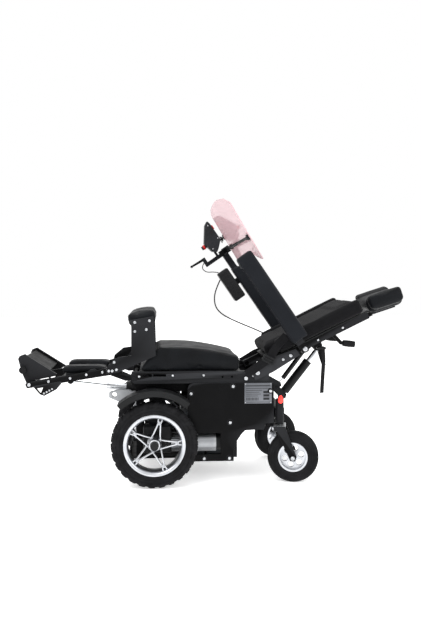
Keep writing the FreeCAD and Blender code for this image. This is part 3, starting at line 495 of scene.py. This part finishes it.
def build_drive_rim(side):
    """Cast rim with five forked spokes, bolt bosses and a hub, and its bolts."""
    s, centre = drive_wheel_place(side)
    bm = bmesh.new()
    well = [(0.1272, 0.0345), (0.1215, 0.0350), (0.1165, 0.0335), (0.1125, 0.0300), (0.1095, 0.0240),
            (0.1080, 0.0120), (0.1080, -0.0300), (0.1240, -0.0345), (0.1272, -0.0345), (0.1250, -0.0250),
            (0.1180, -0.0100), (0.1180, 0.0150), (0.1250, 0.0280)]
    spin(bm, [(r, centre.y + s * a) for r, a in well], centre, 120)
    hub = [(0.0130, 0.0300), (0.0160, 0.0320), (0.0215, 0.0320), (0.0240, 0.0290), (0.0245, 0.0100),
           (0.0300, 0.0020), (0.0300, -0.0400), (0.0130, -0.0400)]
    spin(bm, [(r, centre.y + s * a) for r, a in hub], centre, 48)
    for angle in SPOKE_ANGLES:
        for lean in (-1, 1):
            sections = []
            path = [(0.020, 0.0125, 0.016), (0.045, 0.0085, 0.020), (0.070, 0.0055, 0.0225),
                    (0.090, 0.0032, 0.0245), (0.110, 0.0050, 0.0255)]
            for r, off, depth in path:
                tangent = Vector((-math.sin(angle), 0, math.cos(angle)))
                radial = Vector((math.cos(angle), 0, math.sin(angle)))
                mid = centre + radial * r + tangent * (lean * off * 1.6)
                half = 0.0034
                out = Vector((0, s, 0))
                root = out * (depth - 0.012)
                sections.append([mid - tangent * half + root, mid - tangent * half * 0.75 + out * depth,
                                 mid + tangent * half * 0.75 + out * depth, mid + tangent * half + root])
            loft(bm, sections)
        boss = centre + Vector((math.cos(angle), 0, math.sin(angle))) * BOLT_CIRCLE
        rise, r = 0.0255, 0.0085
        rings = []
        for h, k in ((0.012, 1.0), (rise, 1.0), (rise + 0.001, 0.85)):
            rings.append([boss + Vector((r * k * math.cos(2 * math.pi * n / 20), s * h,
                                         r * k * math.sin(2 * math.pi * n / 20))) for n in range(20)])
        loft(bm, rings)
    bmesh.ops.recalc_face_normals(bm, faces=bm.faces)
    piece = new_piece(f"drive_rim_{side}", bm, M["rim"], f"drive_wheel_{side}")
    broken_edges(piece, 0.8, 40)
    auto_smooth(piece.data, 35)
    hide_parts(f"rim_{side}")
    bm = bmesh.new()
    for angle in SPOKE_ANGLES:
        at = wheel_point(centre, angle, BOLT_CIRCLE, s * 0.0262)
        bolt_head(bm, at, (0, s, 0), 0.0058, 0.004)
    new_piece(f"rim_bolts_{side}", bm, M["steel"], f"drive_wheel_{side}")


# ------------------------------------------------------------------ soft goods
def upholstered(node, material, where=ON_BASE, seams=(), puff_mm=6.0, inset_mm=3.0, voxel_mm=6.0,
                pressure=4.0):
    """Filled cover: the solid's skin remeshed, held at its seams and blown up by cloth pressure."""
    body = next(b for b, nodes in frame["record"]["behaviour"]["bodies"].items() if node in nodes)
    bm = bmesh.new()
    bm.from_mesh(frame["nodes"][node].data)
    bmesh.ops.remove_doubles(bm, verts=bm.verts, dist=0.02 * MM)
    cover = new_piece(node + "_cover", bm, material, body)
    remesh = cover.modifiers.new("skin", "REMESH")
    remesh.mode = "VOXEL"
    remesh.voxel_size = voxel_mm * MM
    remesh.use_smooth_shade = True
    apply_modifiers(cover)
    mesh = cover.data
    inset = [v.co - v.normal * inset_mm * MM for v in mesh.vertices]
    for vertex, at in zip(mesh.vertices, inset):
        vertex.co = at
    back = where.inverted()
    held = cover.vertex_groups.new(name="seams")
    for vertex in mesh.vertices:
        local = back @ vertex.co
        for axis, seam_mm, low_mm in seams:
            near = abs(local[axis] - seam_mm * MM) < 0.62 * voxel_mm * MM
            if near and local.z > low_mm * MM:
                held.add([vertex.index], 1.0, "REPLACE")
    cloth = cover.modifiers.new("filling", "CLOTH")
    setup = cloth.settings
    setup.quality = 4
    setup.mass = 0.3
    setup.tension_stiffness = setup.compression_stiffness = 12.0
    setup.bending_stiffness = 2.0
    setup.use_pressure = True
    setup.uniform_pressure_force = pressure
    setup.effector_weights.gravity = 0.0
    setup.vertex_group_mass = "seams"
    cloth.collision_settings.use_collision = False
    cloth.point_cache.frame_start = 1
    cloth.point_cache.frame_end = 20
    for step in range(1, 21):
        bpy.context.scene.frame_set(step)
    graph = bpy.context.evaluated_depsgraph_get()
    blown = cover.evaluated_get(graph).data
    moves = [v.co - at for v, at in zip(blown.vertices, inset)]
    cover.modifiers.clear()
    for vertex, at, move in zip(mesh.vertices, inset, moves):
        if move.length > puff_mm * MM:
            move = move.normalized() * puff_mm * MM
        vertex.co = at + move
    bpy.context.scene.frame_set(1)
    subdivided(cover, 1)
    for face in cover.data.polygons:
        face.use_smooth = True
    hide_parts(node)
    return cover


def strap(name, points, width, across, body, thick_mm=1.2, material="webbing"):
    """Flat webbing along the points, with a ribbed face and stitched ends."""
    line = []
    for i in range(len(points) - 1):
        before = points[max(i - 1, 0)]
        a, b = points[i], points[i + 1]
        after = points[min(i + 2, len(points) - 1)]
        for k in range(8):
            t = k / 8.0
            line.append(0.5 * ((2 * a) + (b - before) * t + (2 * before - 5 * a + 4 * b - after) * t * t
                               + (3 * a - before - 3 * b + after) * t ** 3))
    line.append(points[-1])
    bm = bmesh.new()
    rings = []
    for i, at in enumerate(line):
        ahead = (line[min(i + 1, len(line) - 1)] - line[max(i - 1, 0)]).normalized()
        side = (across - ahead * across.dot(ahead)).normalized()
        up = ahead.cross(side)
        rings.append([bm.verts.new(at + side * width * (k / 6 - 0.5) + up * 0.0003 * (k % 2))
                      for k in range(7)])
    for one, two in zip(rings, rings[1:]):
        for k in range(6):
            bm.faces.new((one[k], one[k + 1], two[k + 1], two[k]))
    piece = new_piece(name, bm, M[material], body)
    solid = piece.modifiers.new("thickness", "SOLIDIFY")
    solid.thickness = thick_mm * MM
    solid.offset = 0.0
    apply_modifiers(piece)
    return piece


def cable(name, node, points, radius, body):
    """Sheathed lead through the points, both ends on the chair."""
    data = bpy.data.curves.new(name, "CURVE")
    data.dimensions = "3D"
    line = data.splines.new("NURBS")
    line.points.add(len(points) - 1)
    for point, at in zip(line.points, points):
        point.co = (*at, 1.0)
    line.order_u = 3
    line.use_endpoint_u = True
    line.resolution_u = 12
    piece = bpy.data.objects.new(name, data)
    bpy.context.collection.objects.link(piece)
    bpy.context.view_layer.update()
    run = piece.to_mesh()
    piece.to_mesh_clear()
    data.bevel_depth = radius
    data.bevel_resolution = 4
    data.use_fill_caps = True
    data.materials.append(M["sheath"])
    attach(piece, body)
    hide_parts(node)
    return piece


# ------------------------------------------------------------------ small hardware
def bolts(name, body, heads, material="steel"):
    """Button heads: each is (place, direction, radius, height) in metres."""
    bm = bmesh.new()
    for at, normal, radius, height in heads:
        bolt_head(bm, at, normal, radius, height)
    bmesh.ops.recalc_face_normals(bm, faces=bm.faces)
    piece = new_piece(name, bm, M[material], body)
    auto_smooth(piece.data, 40)
    return piece


def slab(bm, low, high, where=ON_BASE):
    """Box between two corners, in millimetres."""
    made = bmesh.ops.create_cube(bm, size=1.0)["verts"]
    for vertex in made:
        vertex.co = where @ (Vector([(low[i] + high[i]) / 2 + vertex.co[i] * (high[i] - low[i])
                                     for i in range(3)]) * MM)


def ring_prism(bm, outer, inner, y0, y1, where):
    """Flat frame between two closed outlines of (x, z) millimetres, from y0 to y1."""
    def row(points, y):
        return [bm.verts.new(where @ (Vector((x, y, z)) * MM)) for x, z in points]
    loops = [row(outer, y0), row(outer, y1), row(inner, y1), row(inner, y0)]
    count = len(outer)
    for one, two in ((0, 1), (1, 2), (2, 3), (3, 0)):
        for k in range(count):
            m = (k + 1) % count
            bm.faces.new((loops[one][k], loops[one][m], loops[two][m], loops[two][k]))


def rounded(half_x, half_z, radius, steps=6):
    """Rounded rectangle as (x, z) points."""
    points = []
    for cx, cz, start in ((1, 1, 0), (-1, 1, 90), (-1, -1, 180), (1, -1, 270)):
        for k in range(steps + 1):
            a = math.radians(start + 90 * k / steps)
            points.append((cx * (half_x - radius) + radius * math.cos(a),
                           cz * (half_z - radius) + radius * math.sin(a)))
    return points


def finished(name, bm, material, body, edge_mm=0.5):
    """A small part with broken edges, in one finish."""
    bmesh.ops.recalc_face_normals(bm, faces=bm.faces)
    piece = new_piece(name, bm, M[material], body)
    broken_edges(piece, edge_mm)
    auto_smooth(piece.data, 38)
    return piece


def belt_buckle():
    """Ladder buckle: moulded frame with a bar across, lying over the strap."""
    where = Matrix.Translation(Vector((0.213, 0.0, 0.521))) @ side_turn(math.radians(-27))
    bm = bmesh.new()
    ring_prism(bm, rounded(27, 15, 5), rounded(20, 8, 3), -236.5, -230.5, where)
    slab(bm, (-21, -235.5, -1.6), (21, -232.0, 1.8), where)
    slab(bm, (-22, -231.5, -9), (22, -229.6, 9), where)
    piece = finished("buckle_frame", bm, "abs", "seat", 0.8)
    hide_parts("belt_buckle")


def rating_plate():
    """Riveted label plate with blank ruled fields, no wording."""
    bm = bmesh.new()
    slab(bm, (112, -226.4, 335), (228, -225.0, 422))
    finished("rating_plate", bm, "plate", "base", 0.4)
    bm = bmesh.new()
    for z0, z1, x1 in ((408, 412, 222), (398, 400, 222), (390, 392, 186), (382, 384, 176), (374, 376, 182),
                       (366, 368, 170), (340, 342, 222)):
        slab(bm, (118, -226.55, z0), (x1, -226.3, z1))
    for i in range(9):
        slab(bm, (120 + 6 * i, -226.55, 348), (123 + 6 * i, -226.3, 360))
    for i in range(3):
        slab(bm, (192, -226.55, 350 + 14 * i), (218, -226.3, 360 + 14 * i))
    finished("rating_plate_fields", bm, "label_ink", "base", 0.05)
    corners = [((x * MM, -0.2264, z * MM), (0, -1, 0), 0.0022, 0.0012)
               for x in (116, 224) for z in (339, 418)]
    bolts("rating_plate_rivets", "base", corners)


def both_sides(places, face, radius, height, where=ON_BASE):
    """The same heads on either side, at (x, z) millimetres on a face this far from the middle."""
    return [(where @ Vector((x * MM, s * face, z * MM)), (0, s, 0), radius, height)
            for s in (-1, 1) for x, z in places]


def panel_bolts():
    """Button heads of the side panels, leg rest, seat rails, back frame and arm pivots."""
    bolts("panel_bolts", "base",
          both_sides(((-114, 380), (63, 409), (51, 256), (-59, 105), (48, 105), (222, 388)),
                     PANEL_FACE, 0.0068, 0.0042))
    heads = both_sides(((-98, 52), (-84, 50), (-66, 52), (84, 196), (36, 196), (-70, 84)),
                       KNEE_PLATE_FACE, 0.0062, 0.0040, ON_LEG)
    heads += both_sides(((-129, 47), (-197, 48), (-266, 45)), LEG_RAIL_FACE, 0.0058, 0.0040, ON_LEG)
    heads += both_sides(((-356, 48),), LEG_SLIDE_FACE, 0.0058, 0.0040, ON_LEG)
    heads += both_sides(((-438, 48),), FOOT_PIVOT_FACE, 0.0075, 0.0040, ON_LEG)
    heads += both_sides(((-383, 2), (-371, 6), (-359, 10), (-347, 14)), LEG_SLIDE_FACE, 0.0042, 0.0024, ON_LEG)
    bolts("leg_rest_bolts", "leg_rest", heads)
    heads = both_sides(((-330, 452), (-190, 455), (-60, 455), (150, 452)), SEAT_RAIL_FACE, 0.0055, 0.0042)
    for s, face in ((-1, BELT_BOLT_FACE), (1, SEAT_RAIL_FACE)):
        heads.append(((118 * MM, s * face, 442 * MM), (0, s, 0), 0.0085, 0.0042))
    bolts("seat_rail_bolts", "seat", heads)
    heads = both_sides(((276.4, 520.5),), BACK_LINK_FACE, 0.0062, 0.0042)
    heads += both_sides(((308.5, 536.5),), BACK_LINK_FACE, 0.0078, 0.0048)
    heads += both_sides(((0, 0),), BACK_LINK_FACE, 0.0100, 0.0050, ON_BACK)
    heads += both_sides(((240, 3), (300, 3), (420, 3)), BACK_RAIL_FACE, 0.0055, 0.0036, ON_BACK)
    bolts("back_frame_bolts", "backrest", heads)
    for side, s in SIDES:
        body = "arm_left" if side == "left" else "backrest"
        at = ON_ARM @ Vector((0.2613, s * 0.250, 0.0011))
        bolts(f"arm_pivot_cap_{side}", body, [(at, (0, s, 0), 0.0105, 0.0050)])


def caster_turn(side, s):
    """Where a caster stands under its stem, turned as in the photo."""
    yaw = math.radians(-12.0 if side == "left" else 25.0)
    return Matrix.Translation(Vector((0.265, s * 0.210, 0))) @ Matrix.Rotation(yaw, 4, "Z")


def axle_nuts():
    """Fender bolts and the nuts on the caster axles."""
    for side, s in SIDES:
        bolts(f"fender_bolts_{side}", "base",
              [((-0.281, s * 0.2405, 0.3985), (0, s, 0), 0.005, 0.003)])
        turn = caster_turn(side, s)
        heads = []
        for q in (-1, 1):
            at = turn @ Vector((0.057, q * 0.048, 0.108))
            heads.append((at, turn.to_3x3() @ Vector((0, q, 0)), 0.0095, 0.0060))
        bolts(f"caster_axle_nuts_{side}", f"caster_{side}", heads)


def caster_wheels():
    """Casters: ribbed tyre with sidewall rings on a cast centre."""
    for side, s in SIDES:
        turn = caster_turn(side, s)
        centre = Vector((0.057, 0.0, 0.108))
        profile = tyre_section(0.0625, 0.1078, 0.0655, 0.013)[:-1]
        profile += [(0.1078, 0.0150), (0.1052, 0.0148), (0.1052, 0.0120), (0.1078, 0.0118)]     # tread groove
        ring = profile + [(r, -a) for r, a in reversed(profile)]
        bm = bmesh.new()
        spin(bm, ring, centre, 96)
        for radius in (0.072, 0.079, 0.090):
            for q in (-1, 1):
                a = 0.0322 if radius > 0.075 else 0.0305
                spin(bm, [(radius - 0.001, q * (a - 0.001)), (radius, q * (a + 0.0009)),
                          (radius + 0.001, q * (a - 0.001))], centre, 72)
        bmesh.ops.recalc_face_normals(bm, faces=bm.faces)
        piece = new_piece(f"caster_tyre_{side}_tread", bm, M["tyre"], f"caster_wheel_{side}",
                          turn)
        auto_smooth(piece.data, 40)
        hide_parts(f"caster_tyre_{side}")


def lamps():
    """Pear-shaped marker lenses on their bases."""
    bm = bmesh.new()
    for s in (-1, 1):
        made = bmesh.ops.create_uvsphere(bm, u_segments=28, v_segments=16, radius=1.0)["verts"]
        for vertex in made:
            x, y, z = vertex.co
            taper = 1.0 - 0.25 * z
            depth = 0.0052 * (1 if y * s > 0 else 0.1)
            vertex.co = Vector((0.2655 + x * 0.0105 * taper, s * (0.2305 + depth * abs(y)),
                                0.352 + z * 0.0175))
    piece = new_piece("marker_lenses", bm, M["lamp"], "base")
    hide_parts("marker_lights")
    bm = bmesh.new()
    for s in (-1, 1):
        y = sorted((s * 226.5, s * 230.2))
        slab(bm, (253, y[0], 332), (278, y[1], 372))
    finished("lamp_bases", bm, "abs", "base", 1.2)


def grip_ribs():
    """Barrel-shaped rubber grips with fine rings."""
    bm = bmesh.new()
    for s in (-1, 1):
        a = ON_BACK @ Vector((0.394, s * 0.1605, -0.0592))
        b = ON_BACK @ Vector((0.438, s * 0.1605, -0.0875))
        axis = (b - a).normalized()
        side = Vector((0, 1, 0))
        up = axis.cross(side)
        span = (b - a).length
        sections = []
        count = 46
        for i in range(count + 1):
            t = i / count
            swell = 0.0128 + 0.0012 * math.sin(math.pi * t) + (0.0008 if i % 4 < 2 else -0.0004)
            if i in (0, count):
                swell *= 0.9
            sections.append([a + axis * (span * t) + (side * math.cos(2 * math.pi * k / 28)
                                                      + up * math.sin(2 * math.pi * k / 28)) * swell
                             for k in range(28)])
        loft(bm, sections)
    bmesh.ops.recalc_face_normals(bm, faces=bm.faces)
    piece = new_piece("push_grip_ribs", bm, M["grip"], "backrest")
    auto_smooth(piece.data, 50)
    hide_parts("push_grips")


def knee_tabs():
    """Upper ends of the knee support plates, bolted through the pads' cores."""
    bm = bmesh.new()
    for s in (-1, 1):
        y = sorted((s * 222.2, s * 227.6))
        slab(bm, (24, y[0], 205), (122, y[1], 246), ON_LEG)
    finished("knee_tabs", bm, "frame", "leg_rest", 2.0)
    bolts("knee_tab_bolts", "leg_rest",
          both_sides(((42, 233), (103, 230)), KNEE_TAB_FACE, 0.0062, 0.004, ON_LEG))


def pod_details():
    """Joystick pod: bezel round the stick, status window, keys, red trim underneath and case screws."""
    def ring(bm, centre, r0, r1, z0, z1, count=40):
        """Round collar on the arm, in millimetres."""
        loops = []
        for r, z in ((r0, z0), (r0, z1), (r1, z1), (r1, z0)):
            loop = []
            for k in range(count):
                a = 2 * math.pi * k / count
                at = Vector((centre[0] + r * math.cos(a), centre[1] + r * math.sin(a), z))
                loop.append(bm.verts.new(ON_ARM @ (at * MM)))
            loops.append(loop)
        for i in range(4):
            one, two = loops[i], loops[(i + 1) % 4]
            for k in range(count):
                m = (k + 1) % count
                bm.faces.new((one[k], one[m], two[m], two[k]))
    bm = bmesh.new()
    ring(bm, (-316, 265), 13, 20, 15.8, 17.5)
    finished("stick_bezel", bm, "abs", "backrest", 0.5)
    bm = bmesh.new()
    ring(bm, (-330, 265), 9.1, 11.5, -74, -64)
    finished("pod_under_ring", bm, "red", "backrest", 0.6)
    bm = bmesh.new()
    for y in (281, 291):
        slab(bm, (-398, y - 4, 15.0), (-388, y + 4, 17.8), ON_ARM)
    slab(bm, (-366, 250, 15.6), (-346, 280, 17.2), ON_ARM)
    finished("pod_keys", bm, "abs", "backrest", 0.5)
    heads = [(ON_ARM @ Vector((x * MM, s, z * MM)), (0, n, 0), 0.0030, 0.0016)
             for s, n in ((0.233, -1), (0.297, 1)) for x, z in ((-405, 2), (-330, 8), (-300, -40))]
    bolts("pod_screws", "backrest", heads)
    bm = bmesh.new()
    for i in range(9):
        slab(bm, (-176 + 16 * i, 234.4, -86), (-170 + 16 * i, 235.2, -40), ON_ARM)
    finished("control_box_ribs", bm, "abs", "backrest", 0.2)


def strap_tails():
    """Loose webbing ends at the backrest, and the lap strap."""
    strap("lap_strap", [Vector((0.120, -0.2305, 0.459)), Vector((0.150, -0.2315, 0.480)),
                        Vector((0.182, -0.2315, 0.502)), Vector((0.208, -0.2300, 0.519))],
          0.036, Vector((-0.55, 0, 0.83)), "seat")
    strap("lap_strap_upper", [Vector((0.214, -0.2292, 0.523)), Vector((0.236, -0.2285, 0.556)),
                              Vector((0.262, -0.2262, 0.592)), Vector((0.290, -0.2280, 0.622))],
          0.036, Vector((-0.83, 0, 0.55)), "seat")
    strap("long_tail", [Vector((0.463, -0.150, 0.560)), Vector((0.466, -0.151, 0.505)),
                        Vector((0.463, -0.150, 0.440)), Vector((0.459, -0.151, 0.365))],
          0.022, Vector((1.0, 0.6, 0)), "backrest")
    strap("short_tail", [Vector((0.452, -0.128, 0.548)), Vector((0.462, -0.127, 0.515)),
                         Vector((0.474, -0.126, 0.482))],
          0.022, Vector((1.0, 0.6, 0)), "backrest")
    bm = bmesh.new()
    slab(bm, (440, -162, 556), (474, -118, 566))
    finished("tail_keeper", bm, "abs", "backrest", 1.5)


CONTROL_ROUTE = [(49.5, 256.2, 857.9), (31, 262, 818), (20, 266, 770), (28, 262, 722), (62, 256, 688),
                 (112, 250, 663), (166, 246, 640), (220, 240, 618), (272, 234, 594), (318, 230, 572),
                 (350.6, 228.1, 558.9)]
LATCH_ROUTE = [(-267.5, -113), (-256, -136), (-224, -128), (-206, -96), (-189.6, -79.6)]


# ------------------------------------------------------------------ operators
class WheelchairFinish(bpy.types.PropertyGroup):
    """Colours and sizes that a user changes."""
    frame_hex: bpy.props.StringProperty(name="Frame colour", description="sRGB hex of the powder coat",
                                        default="050506")
    pad_hex: bpy.props.StringProperty(name="Pad colour", description="sRGB hex of the arm pads",
                                      default="101216")
    rim_hex: bpy.props.StringProperty(name="Rim colour", description="sRGB hex of the wheel rims",
                                      default="c6c8cc")
    edge_mm: bpy.props.FloatProperty(name="Edge radius", default=1.2, min=0.2, max=3.0,
                                     description="Radius broken on metal edges, millimetres")
    camera_lens: bpy.props.FloatProperty(name="Lens", description="Camera focal length", default=41.8,
                                         unit="CAMERA")


class WHEELCHAIR_OT_stage(bpy.types.Operator):
    """Camera, floor and soft studio light"""
    bl_idname = "wheelchair.stage"
    bl_label = "Stage"

    def execute(self, context):
        chair = context.scene.wheelchair_finish
        data = bpy.data.cameras.new("camera")
        data.lens = chair.camera_lens
        data.sensor_width = 36.0
        data.dof.use_dof = False
        camera = bpy.data.objects.new("camera", data)
        camera.location = (-0.248, -3.28, 0.85)
        camera.rotation_euler = (math.radians(90 - 2.66), 0.0, math.radians(-4.05))
        context.collection.objects.link(camera)
        context.scene.camera = camera
        bm = bmesh.new()
        bmesh.ops.create_grid(bm, x_segments=2, y_segments=2, size=14)
        mesh = bpy.data.meshes.new("floor")
        bm.to_mesh(mesh)
        bm.free()
        floor = bpy.data.objects.new("floor", mesh)
        context.collection.objects.link(floor)
        mesh.materials.append(M["floor"])
        world = bpy.data.worlds.new("studio")
        world.use_nodes = True
        world.node_tree.nodes["Background"].inputs["Color"].default_value = (1, 1, 1, 1)
        world.node_tree.nodes["Background"].inputs["Strength"].default_value = 1.0
        context.scene.world = world
        context.scene.view_settings.view_transform = "Standard"
        for name, at, aim, size, power in (
                ("key", (-2.2, -3.0, 3.4), (0, 0, 0.5), 2.6, 110),
                ("fill", (2.8, -2.6, 2.0), (0, 0, 0.5), 2.4, 45),
                ("top", (0.2, 0.4, 3.8), (0, 0, 0.5), 3.0, 70)):
            light = bpy.data.lights.new(name, "AREA")
            light.size = size
            light.energy = power
            lamp = bpy.data.objects.new(name, light)
            lamp.location = at
            lamp.rotation_euler = (Vector(aim) - Vector(at)).to_track_quat("-Z", "Y").to_euler()
            context.collection.objects.link(lamp)
        return {"FINISHED"}


class WHEELCHAIR_OT_materials(bpy.types.Operator):
    """Makes every finish"""
    bl_idname = "wheelchair.materials"
    bl_label = "Finishes"

    def execute(self, context):
        make_materials()
        return {"FINISHED"}


# Node kinds that another operator builds
MODELLED = ("tyre", "rim", "caster_tyre", "marker_lights", "belt_buckle", "seat_belt", "push_grips",
            "seat_cushion", "back_cushion", "back_bolsters", "headrest_pad", "arm_pad", "calf_pads",
            "knee_pads", "control_cable", "latch_cable")
# Test on a face's middle for the second finish
TWO_TONE = {
    "leg_actuator": (lambda at: (at - Vector((-0.190, 0, 0.352))).length < 0.2055, "abs"),
    "motor": (lambda at: at.x > -0.022 or at.x < -0.110, "abs"),
    "caster_fork": (lambda at: at.z > 0.196, "cast"),
    "joystick_mount": (lambda at: (ON_ARM.inverted() @ at).z < -0.028, "module"),
}
NODE_FINISH = {
    "chassis_frame": "frame", "battery_pack": "battery", "power_module": "module", "front_bracket": "cast",
    "lift_actuator": "abs", "lift_rod": "chrome",
    "leg_actuator": "tube", "leg_rod": "chrome", "recline_actuator": "abs", "recline_rod": "steel",
    "gas_spring_rod": "chrome", "gas_spring_tube": "abs", "seat_frame": "frame",
    "back_frame": "frame", "back_shell": "abs",
    "joystick_mount": "frame", "control_box": "abs", "joystick_pod": "abs_grey",
    "joystick_knob": "grip", "pod_button": "red", "latch_lever": "frame", "tray_bar": "frame",
    "tray_board": "acrylic", "leg_frame": "frame", "footplate": "frame", "foot_roller": "grip",
    "side_panel": "panel", "motor": "cast", "release_lever": "frame", "fender": "abs",
    "caster_fork": "frame", "caster_rim": "rim", "arm_frame": "frame",
}


class WHEELCHAIR_OT_metalwork(bpy.types.Operator):
    """Frames, plates, housings and rods with broken edges and their finishes"""
    bl_idname = "wheelchair.metalwork"
    bl_label = "Metalwork"

    def execute(self, context):
        width = context.scene.wheelchair_finish.edge_mm
        body_of = {n: b for b, nodes in frame["record"]["behaviour"]["bodies"].items() for n in nodes}
        for node, body in sorted(body_of.items()):
            kind = node.replace("_left", "").replace("_right", "")
            if kind in MODELLED:
                continue
            piece = eased(node, M[NODE_FINISH[kind]], body, width)
            if kind in TWO_TONE:
                test, other = TWO_TONE[kind]
                piece.data.materials.append(M[other])
                for face in piece.data.polygons:
                    face.material_index = 1 if test(face.center) else 0
        return {"FINISHED"}


class WHEELCHAIR_OT_drive_wheels(bpy.types.Operator):
    """Drive wheels with chevron tyres and cast rims"""
    bl_idname = "wheelchair.drive_wheels"
    bl_label = "Drive wheels"

    def execute(self, context):
        for side in ("left", "right"):
            build_drive_tyre(side)
            build_drive_rim(side)
        return {"FINISHED"}


class WHEELCHAIR_OT_casters(bpy.types.Operator):
    """Caster tyres and axle nuts"""
    bl_idname = "wheelchair.casters"
    bl_label = "Casters"

    def execute(self, context):
        caster_wheels()
        axle_nuts()
        return {"FINISHED"}


class WHEELCHAIR_OT_upholstery(bpy.types.Operator):
    """Seat, back, headrest, bolsters, arm pads, calf and knee pads"""
    bl_idname = "wheelchair.upholstery"
    bl_label = "Upholstery"

    def execute(self, context):
        upholstered("seat_cushion", M["seat_skin"], ON_BASE,
                    ((1, -150, 480), (1, 150, 480), (0, -215, 480)), 7, 4, 6.0)
        upholstered("back_cushion", M["cloth"], ON_BACK,
                    ((0, 180, 40), (0, 300, 40), (0, 420, 40)), 7, 4, 6.0)
        upholstered("back_bolsters", M["cloth"], ON_BACK, ((0, 322, 60),), 5, 3, 5.5)
        upholstered("headrest_pad", M["seat_skin"], ON_BACK,
                    ((1, -74, 20), (1, 74, 20)), 6, 3, 5.5)
        upholstered("calf_pads", M["seat_skin"], ON_BASE, (), 5, 3, 5.0)
        upholstered("knee_pads", M["seat_skin"], ON_LEG, (), 6, 4, 5.5)
        for side in ("left", "right"):
            upholstered(f"arm_pad_{side}", M["pad_skin"], ON_ARM, (), 2.5, 1.5, 5.0, 3.0)
        return {"FINISHED"}


class WHEELCHAIR_OT_hardware(bpy.types.Operator):
    """Bolts, lamps, grips, buckle, label plate and pod details"""
    bl_idname = "wheelchair.hardware"
    bl_label = "Hardware"

    def execute(self, context):
        panel_bolts()
        lamps()
        grip_ribs()
        knee_tabs()
        belt_buckle()
        rating_plate()
        pod_details()
        return {"FINISHED"}


class WHEELCHAIR_OT_webbing(bpy.types.Operator):
    """Lap strap, loose tails and cables"""
    bl_idname = "wheelchair.webbing"
    bl_label = "Webbing and cables"

    def execute(self, context):
        strap_tails()
        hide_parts("seat_belt")
        cable("control_lead", "control_cable", [Vector(p) * MM for p in CONTROL_ROUTE], 0.003, "backrest")
        cable("latch_lead", "latch_cable", [ON_ARM @ (Vector((x, 278, z)) * MM) for x, z in LATCH_ROUTE],
              0.002, "backrest")
        return {"FINISHED"}


class WHEELCHAIR_PT_panel(bpy.types.Panel):
    """Lists the chair's builders"""
    bl_label = "Power wheelchair"
    bl_idname = "WHEELCHAIR_PT_panel"
    bl_space_type = "VIEW_3D"
    bl_region_type = "UI"
    bl_category = "Wheelchair"

    def draw(self, context):
        finish = context.scene.wheelchair_finish
        for name in ("frame_hex", "pad_hex", "rim_hex", "edge_mm", "camera_lens"):
            self.layout.prop(finish, name)
        for operator in OPERATORS:
            self.layout.operator(operator.bl_idname)


OPERATORS = (WHEELCHAIR_OT_materials, WHEELCHAIR_OT_stage, WHEELCHAIR_OT_metalwork,
             WHEELCHAIR_OT_drive_wheels, WHEELCHAIR_OT_casters, WHEELCHAIR_OT_upholstery,
             WHEELCHAIR_OT_hardware, WHEELCHAIR_OT_webbing)
CLASSES = (WheelchairFinish,) + OPERATORS + (WHEELCHAIR_PT_panel,)


def register():
    """Registers the classes and the panel's values."""
    for cls in CLASSES:
        bpy.utils.register_class(cls)
    bpy.types.Scene.wheelchair_finish = bpy.props.PointerProperty(type=WheelchairFinish)


def unregister():
    """Takes them off again."""
    del bpy.types.Scene.wheelchair_finish
    for cls in reversed(CLASSES):
        bpy.utils.unregister_class(cls)


def main():
    """Builds the chair with its operators."""
    register()
    for operator in OPERATORS:
        group, name = operator.bl_idname.split(".")
        getattr(getattr(bpy.ops, group), name)()


if __name__ == "__main__":
    main()
